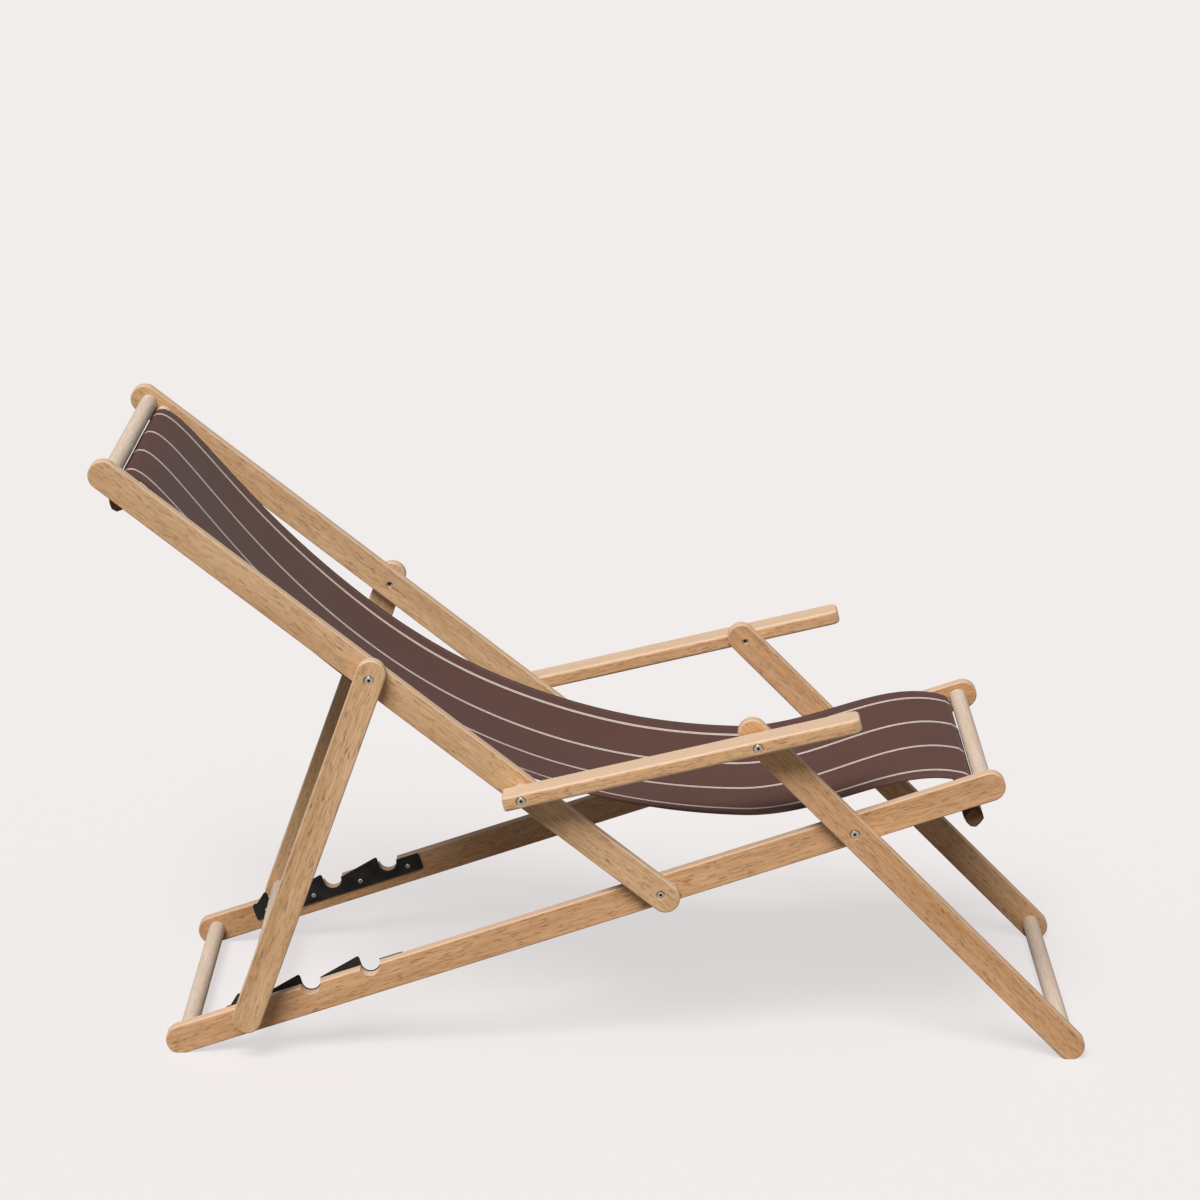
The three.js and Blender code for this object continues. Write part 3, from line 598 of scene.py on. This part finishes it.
for number, (node, body) in enumerate(BARS.items()):
    low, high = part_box(node)
    radius = (high.z - low.z) / 2
    half = (high.y - low.y) / 2
    mesh = bmesh.new()
    bmesh.ops.create_cone(mesh, cap_ends=True, segments=BAR_STEPS, radius1=radius, radius2=radius,
                          depth=2 * half)
    rims = [edge for edge in mesh.edges if abs(edge.verts[0].co.z - edge.verts[1].co.z) < 1e-6]
    bmesh.ops.bevel(mesh, geom=rims, offset=BAR_CHAMFER, segments=2, profile=0.5, affect="EDGES",
                    material=-1, clamp_overlap=True)
    bmesh.ops.rotate(mesh, verts=mesh.verts, matrix=Matrix.Rotation(math.pi / 2, 3, "Y"))
    bar = new_piece(mesh, f"beech_{node}")
    centre = (low + high) / 2
    settle(bar, Matrix.Translation(centre) @ Matrix.Rotation(math.pi / 2, 4, "Z"), 20 + number)
    hand_over(bar, barwood, "pale_bar_wood", body, node)


# ---- Notch plates ----
# Black powder-coated steel plates on the seat rails' inner faces. Each has a ramp that rises
# to a tooth behind each notch, so that the prop bar drops in and can't slip back.

NOTCH = 0.013
TOOTH_HEIGHT = 0.0124
TOOTH_NOSE = 0.003
PLATE_DEPTH = 0.025
PLATE_CORNER = 0.004
REAR_RAMP = 0.032
PLATE_EDGE = 0.0004


def powder_coat():
    material, shader = new_material("black_steel", base_color=shade(27, 26, 26), roughness=0.5,
                                    specular_ior_level=0.4)
    nodes, link = material.node_tree.nodes, material.node_tree.links.new
    place = nodes.new("ShaderNodeTexCoord")
    grit = nodes.new("ShaderNodeTexNoise")
    grit.inputs["Scale"].default_value = 1800
    grit.inputs["Detail"].default_value = 2
    wear = nodes.new("ShaderNodeTexNoise")
    wear.inputs["Scale"].default_value = 45
    wear.inputs["Detail"].default_value = 5
    link(place.outputs["Object"], grit.inputs["Vector"])
    link(place.outputs["Object"], wear.inputs["Vector"])
    tone = nodes.new("ShaderNodeValToRGB")
    tone.color_ramp.elements[0].position = 0.35
    tone.color_ramp.elements[0].color = shade(22, 21, 21)
    tone.color_ramp.elements[1].position = 0.75
    tone.color_ramp.elements[1].color = shade(46, 44, 43)
    link(wear.outputs["Fac"], tone.inputs["Fac"])
    link(tone.outputs["Color"], shader.inputs["Base Color"])
    gloss = nodes.new("ShaderNodeMapRange")
    gloss.inputs["To Min"].default_value = 0.38
    gloss.inputs["To Max"].default_value = 0.62
    link(wear.outputs["Fac"], gloss.inputs["Value"])
    link(gloss.outputs["Result"], shader.inputs["Roughness"])
    bump = nodes.new("ShaderNodeBump")
    bump.inputs["Strength"].default_value = 0.3
    bump.inputs["Distance"].default_value = 0.0002
    link(grit.outputs["Fac"], bump.inputs["Height"])
    link(bump.outputs["Normal"], shader.inputs["Normal"])
    return material


black_steel = powder_coat()


def arc(x, z, radius, start, end, steps):
    """Points of an arc in a side view, from one angle to another, in degrees."""
    angles = [math.radians(start + (end - start) * index / steps) for index in range(steps + 1)]
    return [(x + radius * math.cos(angle), z + radius * math.sin(angle)) for angle in angles]


def plate_outline(rear, front, top):
    """The plate's edge: its bottom corners, then notch, nose and ramp from the front back."""
    bottom = top - PLATE_DEPTH
    low_z, high_z = bottom + PLATE_CORNER, top - PLATE_CORNER
    points = arc(rear + PLATE_CORNER, low_z, PLATE_CORNER, 180, 270, 6)
    points += arc(front - PLATE_CORNER, low_z, PLATE_CORNER, -90, 0, 6)
    points += arc(front - PLATE_CORNER, high_z, PLATE_CORNER, 0, 90, 6)
    for index in reversed(range(NOTCHES)):
        x = notch_places[index]
        foot = notch_places[index - 1] + NOTCH if index else x - REAR_RAMP
        nose_x = x - NOTCH - TOOTH_NOSE
        nose_z = top + TOOTH_HEIGHT - TOOTH_NOSE
        slope = math.degrees(math.atan2(TOOTH_HEIGHT, nose_x - foot))
        points += arc(x, top, NOTCH, 0, -180, 20)
        points += arc(nose_x, nose_z, TOOTH_NOSE, 0, 90 + slope, 8)
    points += [(foot, top)]
    points += arc(rear + PLATE_CORNER, high_z, PLATE_CORNER, 90, 180, 6)
    return points


for side_name, side in SIDES.items():
    node = f"notch_plate_{side_name}"
    low, high = own_box(node, seat_place)
    top = own_box(f"seat_rail_{side_name}", seat_place)[1].z
    mesh = bmesh.new()
    outline = [mesh.verts.new((x, low.y, z)) for x, z in plate_outline(low.x, high.x, top)]
    mesh.faces.new(outline)
    bmesh.ops.remove_doubles(mesh, verts=mesh.verts, dist=1e-6)
    grown = bmesh.ops.extrude_face_region(mesh, geom=mesh.faces[:])["geom"]
    lifted = [part for part in grown if isinstance(part, bmesh.types.BMVert)]
    bmesh.ops.translate(mesh, verts=lifted, vec=(0, high.y - low.y, 0))
    bmesh.ops.recalc_face_normals(mesh, faces=mesh.faces)
    rims = [edge for edge in mesh.edges if abs(edge.verts[0].co.y - edge.verts[1].co.y) < 1e-6]
    bmesh.ops.bevel(mesh, geom=rims, offset=PLATE_EDGE, segments=2, profile=0.5, affect="EDGES",
                    material=-1, clamp_overlap=True)
    plate = new_piece(mesh, f"steel_notch_plate_{side_name}")
    settle(plate, seat_place, 0)
    hand_over(plate, black_steel, "black_steel", "seat_frame", node)


# ---- Bolts, barrel nuts and screws ----
# Bright steel: domed bolts and barrel nuts with hex sockets at the ten pivots, and pan-head
# screws with a cross recess, four in each notch plate.

HEAD_RADIUS = 0.0065
HEAD_HEIGHT = 0.0034
HEAD_LAND = 0.0009  # the straight rim under the dome
SHANK_RADIUS = 0.003
SOCKET_RADIUS = 0.0024
SOCKET_DEPTH = 0.002
SOCKET_SHADE_START = 0.0006  # how far below its rim the painted shade in a socket begins
SOCKET_LIMIT = 0.0025  # no socket reaches farther in than this
NUT_RADIUS = 0.0043
NUT_BORE = 0.0034
NUT_END = 0.0045
SCREW_HEAD_RADIUS = 0.0034
SCREW_HEAD_HEIGHT = 0.0018
SCREW_RADIUS = 0.0017
CROSS_WIDTH = 0.0008
CROSS_LENGTH = 0.0036
CROSS_DEPTH = 0.0009
BOLT_TIP = 0.001
NUT_EDGE = 0.0005


def polished_steel():
    material, shader = new_material("bright_steel", base_color=shade(214, 211, 205), metallic=0.6,
                                    roughness=0.25)
    nodes, link = material.node_tree.nodes, material.node_tree.links.new
    place = nodes.new("ShaderNodeTexCoord")
    smear = nodes.new("ShaderNodeTexNoise")
    smear.inputs["Scale"].default_value = 700
    smear.inputs["Detail"].default_value = 4
    link(place.outputs["Object"], smear.inputs["Vector"])
    gloss = nodes.new("ShaderNodeMapRange")
    gloss.inputs["To Min"].default_value = 0.14
    gloss.inputs["To Max"].default_value = 0.38
    link(smear.outputs["Fac"], gloss.inputs["Value"])
    link(gloss.outputs["Result"], shader.inputs["Roughness"])
    tone = nodes.new("ShaderNodeValToRGB")
    tone.color_ramp.elements[0].color = shade(202, 198, 191)
    tone.color_ramp.elements[1].color = shade(240, 238, 233)
    link(smear.outputs["Fac"], tone.inputs["Fac"])
    # Painted shade: the floor and lower walls of each socket are painted dark brown, as shade in
    # the recess.
    shaded = nodes.new("ShaderNodeAttribute")
    shaded.attribute_name = "recess"
    socket_shade = mixer(nodes)(shaded.outputs["Fac"], tone.outputs["Color"], shade(52, 46, 42))
    link(socket_shade, shader.inputs["Base Color"])
    return material


bright_steel = polished_steel()


def dome(radius, height, land, steps=6):
    """The profile of a domed head from its top, on the axis, down to its underside."""
    turns = [math.radians(90 * index / steps) for index in range(steps + 1)]
    curve = [(radius * math.sin(turn), -land - (height - land) * math.cos(turn)) for turn in turns]
    return curve + [(radius, 0)]


def hexagon(depth):
    """A cutter for a hex socket, from a little outside down to its depth."""
    mesh = bmesh.new()
    bmesh.ops.create_cone(mesh, cap_ends=True, segments=6, radius1=SOCKET_RADIUS,
                          radius2=SOCKET_RADIUS, depth=2 * depth)
    bmesh.ops.rotate(mesh, verts=mesh.verts, matrix=Matrix.Rotation(math.pi / 2, 3, "X"))
    return mesh


def fastener(name, node, profile, recess, top, side, out, body):
    """Places a turned fastener whose recessed end faces out, with that end's level at top."""
    mesh = bmesh.new()
    turned(mesh, profile)
    piece = new_piece(mesh, name)
    mouth = min(vertex.co.y for vertex in piece.data.vertices)
    cut_away(piece, new_piece(recess, "recess"))
    # Marks the socket's floor and lower walls for the painted shade in the steel.
    deep = piece.data.attributes.new("recess", "FLOAT", "POINT")
    for vertex, value in zip(piece.data.vertices, deep.data):
        inside = math.hypot(vertex.co.x, vertex.co.z) < SOCKET_RADIUS * 1.01
        value.value = 1 if inside and mouth + SOCKET_SHADE_START < vertex.co.y < SOCKET_LIMIT else 0
    place = Matrix.Translation(middle_of(node) + Vector((0, side * top, 0)))
    if side * out > 0:
        place = place @ Matrix.Rotation(math.pi, 4, "Z")
    settle(piece, place, 0)
    hand_over(piece, bright_steel, "bright_steel", body, node)


def bolt(node, side, out, body):
    low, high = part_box(node)
    reach = sorted((abs(low.y), abs(high.y)))
    length = reach[1] - reach[0] - HEAD_HEIGHT
    profile = dome(HEAD_RADIUS, HEAD_HEIGHT, HEAD_LAND)
    profile += [(SHANK_RADIUS, 0), (SHANK_RADIUS, length - BOLT_TIP),
                (SHANK_RADIUS - BOLT_TIP, length), (0, length)]
    recess = hexagon(SOCKET_DEPTH)
    bmesh.ops.translate(recess, verts=recess.verts, vec=(0, -HEAD_HEIGHT, 0))
    top = reach[1] - HEAD_HEIGHT if out > 0 else reach[0] + HEAD_HEIGHT
    fastener(f"steel_{node}", node, profile, recess, top, side, out, body)


def barrel_nut(node, side, out, body):
    low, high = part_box(node)
    reach = sorted((abs(low.y), abs(high.y)))
    length = reach[1] - reach[0]
    profile = [(0, 0), (NUT_RADIUS - NUT_EDGE, 0), (NUT_RADIUS, NUT_EDGE), (NUT_RADIUS, length),
               (NUT_BORE, length), (NUT_BORE, NUT_END), (0, NUT_END)]
    fastener(f"steel_{node}", node, profile, hexagon(SOCKET_DEPTH),
             reach[1] if out > 0 else reach[0], side, out, body)


def plate_screw(node, side):
    low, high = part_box(node)
    reach = sorted((abs(low.y), abs(high.y)))
    length = reach[1] - reach[0] - SCREW_HEAD_HEIGHT
    profile = dome(SCREW_HEAD_RADIUS, SCREW_HEAD_HEIGHT, SCREW_HEAD_HEIGHT / 3)
    profile += [(SCREW_RADIUS, 0), (SCREW_RADIUS, length - SCREW_RADIUS), (0, length)]
    cross = bmesh.new()
    bmesh.ops.create_cube(cross, size=1)
    bmesh.ops.scale(cross, verts=cross.verts, vec=(CROSS_WIDTH, 2 * CROSS_DEPTH, CROSS_WIDTH))
    for way in (Vector((1, 0, 0)), Vector((0, 0, 1))):
        for sign in (1, -1):
            end = [face for face in cross.faces if face.normal.dot(way * sign) > 0.9
                   and face.calc_center_median().dot(way * sign) > 0]
            arm = bmesh.ops.extrude_face_region(cross, geom=end[:1])["geom"]
            bmesh.ops.delete(cross, geom=end[:1], context="FACES")
            tip = [part for part in arm if isinstance(part, bmesh.types.BMVert)]
            bmesh.ops.translate(cross, verts=tip, vec=way * sign * (CROSS_LENGTH - CROSS_WIDTH) / 2)
    bmesh.ops.recalc_face_normals(cross, faces=cross.faces)
    bmesh.ops.translate(cross, verts=cross.verts, vec=(0, -SCREW_HEAD_HEIGHT, 0))
    fastener(f"steel_{node}", node, profile, cross, reach[0] + SCREW_HEAD_HEIGHT, side, -1,
             "seat_frame")


for side_name, side in SIDES.items():
    bolt(f"back_pivot_bolt_{side_name}", side, -1, "seat_frame")
    barrel_nut(f"back_pivot_nut_{side_name}", side, 1, "seat_frame")
    bolt(f"leg_pivot_bolt_{side_name}", side, 1, "seat_frame")
    barrel_nut(f"leg_pivot_nut_{side_name}", side, -1, "seat_frame")
    for pivot in ("prop_pivot", "arm_rear_pivot"):
        bolt(f"{pivot}_bolt_{side_name}", side, 1, "back_frame")
        barrel_nut(f"{pivot}_nut_{side_name}", side, -1, "back_frame")
    bolt(f"arm_front_pivot_bolt_{side_name}", side, 1, "armrests")
    barrel_nut(f"arm_front_pivot_nut_{side_name}", side, -1, "front_legs")
    for number in range(4):
        plate_screw(f"plate_screw_{side_name}_{number + 1}", side)


# ---- Washers ----
# Thin nylon washers that keep the rails a little apart at the pivots. Only their rims show.

nylon, nylon_shader = new_material("nylon", base_color=shade(226, 220, 208), roughness=0.5)
nylon_tone = nylon.node_tree.nodes.new("ShaderNodeTexNoise")
nylon_tone.inputs["Scale"].default_value = 400
nylon_mix = nylon.node_tree.nodes.new("ShaderNodeValToRGB")
nylon_mix.color_ramp.elements[0].color = shade(214, 206, 192)
nylon_mix.color_ramp.elements[1].color = shade(234, 229, 219)
nylon_place = nylon.node_tree.nodes.new("ShaderNodeTexCoord")
nylon.node_tree.links.new(nylon_place.outputs["Object"], nylon_tone.inputs["Vector"])
nylon.node_tree.links.new(nylon_tone.outputs["Fac"], nylon_mix.inputs["Fac"])
nylon.node_tree.links.new(nylon_mix.outputs["Color"], nylon_shader.inputs["Base Color"])

for name, node in frame["nodes"].items():
    if "washer" in name:
        node.data.materials.clear()
        node.data.materials.append(nylon)


# ---- Sticks in the sling's hems ----
# Two square sticks of raw wood with round corners, painted dark brown as painted shade, for
# their ends lie in shadow in the pockets. They can't pass up through the gap between an end
# bar and the sling bar, and so they hold the sling.

STICK_SIZE = 0.020
STICK_CORNER = 0.004
HEAD_STICK_TURN = math.radians(20)
FRONT_STICK_TURN = math.radians(45)

# Painted shade: the stick wood is painted much darker than the rails, since their ends are seen in
# shadow.
stickwood = wood_material(
    "stick_wood", pale=shade(142, 98, 62), dark=shade(98, 62, 38), pore=shade(58, 36, 22),
    figure=1.0, pores=0.5, roughness=0.7)

STICKS = {"head_stick": ("back_frame", HEAD_STICK_TURN),
          "front_stick": ("seat_frame", FRONT_STICK_TURN)}

for number, (node, (body, turn)) in enumerate(STICKS.items()):
    low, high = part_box(node)
    mesh = bmesh.new()
    bmesh.ops.create_cube(mesh, size=1)
    bmesh.ops.scale(mesh, verts=mesh.verts, vec=(high.y - low.y, STICK_SIZE, STICK_SIZE))
    lengthwise = [edge for edge in mesh.edges if abs(edge.verts[0].co.x - edge.verts[1].co.x) > 0.1]
    bmesh.ops.bevel(mesh, geom=lengthwise, offset=STICK_CORNER, segments=5, profile=0.5,
                    affect="EDGES", material=-1, clamp_overlap=True)
    bmesh.ops.rotate(mesh, verts=mesh.verts, matrix=Matrix.Rotation(-turn, 3, "X"))
    stick = new_piece(mesh, f"raw_{node}")
    place = Matrix.Translation((low + high) / 2) @ Matrix.Rotation(math.pi / 2, 4, "Z")
    settle(stick, place, 30 + number)
    hand_over(stick, stickwood, "stick_wood", body, node)


# ---- Sling ----
# One width of woven canvas with pairs of thin cream stripes along it. Its long edges are
# folded under and sewn, and each end is sewn into a pocket round its stick.

CLOTH_THICKNESS = 0.0013
CLOTH_HALF_WIDTH = (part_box("sling")[1].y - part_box("sling")[0].y) / 2
SIDE_HEM = 0.010
SEAM_ALLOWANCE = 0.014
STEP = 0.008
HEAD_SLOPE = math.radians(15)
FRONT_SLOPE = math.radians(-13)
LOW_AHEAD = 0.111
LOW_ABOVE = 0.089
HEAD_PULL = 0.070
LOW_PULL_BACK = 0.550
LOW_PULL_FRONT = 0.119
FRONT_PULL = 0.099
CURVE_STEPS = 120
BAR_RADIUS = 0.012
CLOTH_GAP = 0.0003  # between a bar and the cloth over it
WRAP = BAR_RADIUS + CLOTH_GAP + CLOTH_THICKNESS / 2
LAYER = CLOTH_THICKNESS * 1.15  # from the middle of one layer of cloth to the next
STRIPE_PITCH = 0.121
STRIPE_LINE = 0.0013  # half of one thin line
STRIPE_GAP = 0.0021  # from the pair's middle to a line's middle
THREAD_PITCH = 0.0009
STITCH_PITCH = 0.0016
STITCH_WIDTH = 0.0004  # half of one stitch


def side_point(node):
    centre = middle_of(node)
    return Vector((centre.x, centre.z))


def polar(centre, radius, angle):
    return centre + radius * Vector((math.cos(angle), math.sin(angle)))


def pocket(stick, turn, start):
    """The cloth's line once round a stick, from the angle where it comes down to it."""
    half = STICK_SIZE / 2 + CLOTH_THICKNESS * 0.8
    corner = STICK_CORNER + CLOTH_THICKNESS
    points = []
    for quarter in range(4):
        centre = Vector((half - corner, half - corner))
        centre.rotate(Matrix.Rotation(-quarter * math.pi / 2, 2))
        for x, y in arc(centre.x, centre.y, corner, 90 - 90 * quarter, -90 * quarter, 5):
            point = Vector((x, y))
            point.rotate(Matrix.Rotation(turn, 2))
            points.append(stick + point)
    first = min(range(len(points)), key=lambda index: (points[index] - start).length)
    return points[first:] + points[:first]


def sling_line():
    """The middle line of the cloth in side view, from the seam of one pocket to the other's."""
    head_bar, front_bar = side_point("head_sling_bar"), side_point("front_sling_bar")
    head_stick, front_stick = side_point("head_stick"), side_point("front_stick")
    leave = math.pi / 2 - HEAD_SLOPE
    meet = math.pi / 2 + FRONT_SLOPE
    start, end = polar(head_bar, WRAP, leave), polar(front_bar, WRAP, meet)
    low = Vector((back_pivot.x + LOW_AHEAD, back_pivot.z + LOW_ABOVE))
    above_stick = STICK_SIZE * 0.72
    head_drop = Vector((head_bar.x - WRAP, head_stick.y + above_stick + SEAM_ALLOWANCE))
    front_drop = Vector((front_bar.x + WRAP, front_stick.y + above_stick + SEAM_ALLOWANCE))
    inset = Vector((LAYER, 0))
    seam = Vector((0, SEAM_ALLOWANCE * 0.6))

    head_loop = pocket(head_stick, HEAD_STICK_TURN, head_stick + Vector((0, STICK_SIZE)))
    front_loop = pocket(front_stick, FRONT_STICK_TURN, front_stick + Vector((0, STICK_SIZE)))
    line = [head_drop + inset, head_drop + inset - seam]
    line += head_loop
    line += [head_drop - seam, head_drop]
    line += [Vector(point) for point in arc(*head_bar, WRAP, 180, math.degrees(leave), 8)]
    head_pull = polar(start, HEAD_PULL, -HEAD_SLOPE)
    front_pull = polar(end, -FRONT_PULL, FRONT_SLOPE)
    back_curve = (start, head_pull, low - Vector((LOW_PULL_BACK, 0)), low)
    seat_curve = (low, low + Vector((LOW_PULL_FRONT, 0)), front_pull, end)
    for curve in (back_curve, seat_curve):
        line += [Vector(point) for point in geometry.interpolate_bezier(*curve, CURVE_STEPS)]
    line += [Vector(point) for point in arc(*front_bar, WRAP, math.degrees(meet), 0, 8)]
    line += [front_drop, front_drop - seam]
    line += front_loop
    line += [front_drop - inset - seam, front_drop - inset]
    return line


def evenly(line, step):
    """Points along a line at an even step, and the distance to each from its start."""
    marks = [0.0]
    for before, after in zip(line, line[1:]):
        marks.append(marks[-1] + (after - before).length)
    count = round(marks[-1] / step)
    places, index = [], 0
    for number in range(count + 1):
        along = marks[-1] * number / count
        while index < len(marks) - 2 and marks[index + 1] < along:
            index += 1
        span = marks[index + 1] - marks[index]
        share = (along - marks[index]) / span if span > 1e-9 else 0
        places.append((along, line[index].lerp(line[index + 1], share)))
    return places


def canvas():
    """Dark brown woven canvas: warp and weft, slubs, cream stripes and rows of stitches."""
    material, shader = new_material("striped_canvas", roughness=0.9, specular_ior_level=0.2,
                                    sheen_weight=0.08, sheen_roughness=0.4)
    nodes, link = material.node_tree.nodes, material.node_tree.links.new
    flat = nodes.new("ShaderNodeAttribute")
    flat.attribute_name = "flat"
    calculate, mixed = calculator(nodes), mixer(nodes)
    stretched_noise = stretcher(nodes, flat.outputs["Vector"])

    def close_to(value, half_width, soft):
        node = nodes.new("ShaderNodeMapRange")
        link(value, node.inputs["Value"])
        node.inputs["From Min"].default_value = half_width + soft
        node.inputs["From Max"].default_value = half_width - soft
        return node.outputs["Result"]

    def row_of_stitches(from_row, way):
        stitch = close_to(calculate("PINGPONG", way, STITCH_PITCH), STITCH_PITCH * 0.55,
                          STITCH_PITCH * 0.1)
        return calculate("MULTIPLY", close_to(from_row, STITCH_WIDTH, 0.0001), stitch)

    parts = nodes.new("ShaderNodeSeparateXYZ")
    link(flat.outputs["Vector"], parts.inputs["Vector"])
    across, along = parts.outputs["X"], parts.outputs["Y"]

    thread = math.pi / THREAD_PITCH
    weave = calculate("MULTIPLY", calculate("SINE", calculate("MULTIPLY", across, thread)),
                      calculate("SINE", calculate("MULTIPLY", along, thread)))
    weft_slubs = stretched_noise((30, 1100, 1), 2)
    warp_slubs = stretched_noise((1300, 22, 1), 2)
    slubs = calculate("MULTIPLY", calculate("ADD", weft_slubs, warp_slubs), 0.5)
    washed = stretched_noise((9, 7, 1), 3)

    ground = mixed(slubs, shade(74, 46, 41), shade(112, 77, 70))
    ground = mixed(calculate("MULTIPLY", washed, 0.25), ground, shade(112, 84, 79))
    from_pair = calculate("PINGPONG", calculate("SUBTRACT", across, STRIPE_PITCH / 2),
                          STRIPE_PITCH / 2)
    stripe = close_to(calculate("ABSOLUTE", calculate("SUBTRACT", from_pair, STRIPE_GAP)),
                      STRIPE_LINE, 0.0002)
    cream = mixed(slubs, shade(232, 214, 202), shade(255, 246, 238))
    colour = mixed(stripe, ground, cream)

    from_hem = calculate("ABSOLUTE", calculate("SUBTRACT", calculate("ABSOLUTE", across),
                                               CLOTH_HALF_WIDTH - SIDE_HEM * 0.8))
    from_middle = calculate("ABSOLUTE", calculate("SUBTRACT", along, cloth_length / 2))
    from_pocket = calculate("ABSOLUTE", calculate("SUBTRACT", from_middle,
                                                  cloth_length / 2 - pocket_seam))
    stitches = calculate("MAXIMUM", row_of_stitches(from_hem, along),
                         row_of_stitches(from_pocket, across))
    link(mixed(stitches, colour, shade(120, 94, 88)), shader.inputs["Base Color"])

    bump = nodes.new("ShaderNodeBump")
    bump.inputs["Strength"].default_value = 0.5
    bump.inputs["Distance"].default_value = 0.0004
    height = calculate("ADD", calculate("MULTIPLY", weave, 0.5), calculate("MULTIPLY", slubs, 0.8))
    link(calculate("ADD", height, stitches), bump.inputs["Height"])
    link(bump.outputs["Normal"], shader.inputs["Normal"])
    return material


COLUMNS = 44
SIDE_FOLDS = (1, 0.55, 0.2, 0.1)  # where the side hem's own columns lie, as shares of its width
CUPPING = 0.018  # how far the edges of the cloth stand above its middle
PUCKER = 0.0012  # the small waves where it is pulled over a bar
PUCKER_FADE = 0.09
RIPPLE = 0.0016  # the broad unevenness of the hanging cloth

line = evenly(sling_line(), STEP)
cloth_length = line[-1][0]
pocket_seam = 4 * STICK_SIZE + 2 * SEAM_ALLOWANCE * 0.8
half = CLOTH_HALF_WIDTH
columns = [-half - SIDE_HEM * share for share in SIDE_FOLDS]
columns += [half * (2 * index / COLUMNS - 1) for index in range(COLUMNS + 1)]
columns += [half + SIDE_HEM * share for share in reversed(SIDE_FOLDS)]
over_bars = []
for bar in ("head_sling_bar", "front_sling_bar"):
    crown = side_point(bar) + Vector((0, WRAP))
    over_bars.append(min(line, key=lambda mark: (mark[1] - crown).length)[0])

mesh = bmesh.new()
flat_layer = mesh.verts.layers.float_vector.new("flat")
bmesh.ops.create_grid(mesh, x_segments=len(columns) - 1, y_segments=len(line) - 1, size=1)
for vert in mesh.verts:
    across = columns[round((vert.co.x + 1) / 2 * (len(columns) - 1))]
    row = round((vert.co.y + 1) / 2 * (len(line) - 1))
    along, point = line[row]
    way = (line[min(row + 1, len(line) - 1)][1] - line[max(row - 1, 0)][1]).normalized()
    up = Vector((-way.y, way.x))
    folded = max(abs(across) - half, 0)
    y = math.copysign(min(abs(across), half) - folded, across)
    under = LAYER * min(folded / (0.12 * SIDE_HEM), 1)
    between = (along - over_bars[0]) / (over_bars[1] - over_bars[0])
    hanging = math.sin(math.pi * between) if 0 < between < 1 else 0
    lift = CUPPING * (y / half) ** 2 * hanging
    for bar_at in over_bars:
        fade = math.exp(-abs(along - bar_at) / PUCKER_FADE) * hanging ** 0.5
        lift += PUCKER * fade * noise.noise(Vector((y * 26, bar_at * 7, along * 3)))
    lift += RIPPLE * hanging * noise.noise(Vector((y * 6, along * 5, 2.5)))
    place = point + up * (lift - under)
    vert[flat_layer] = (across, along, 0)
    vert.co = (place.x, y, place.y)
bmesh.ops.recalc_face_normals(mesh, faces=mesh.faces)
sling = new_piece(mesh, "canvas_sling")
sling.data.shade_smooth()
thick = sling.modifiers.new("cloth_thickness", "SOLIDIFY")
thick.thickness = CLOTH_THICKNESS
thick.offset = 0
sling.data.materials.append(canvas())
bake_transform(sling)
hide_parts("sling")
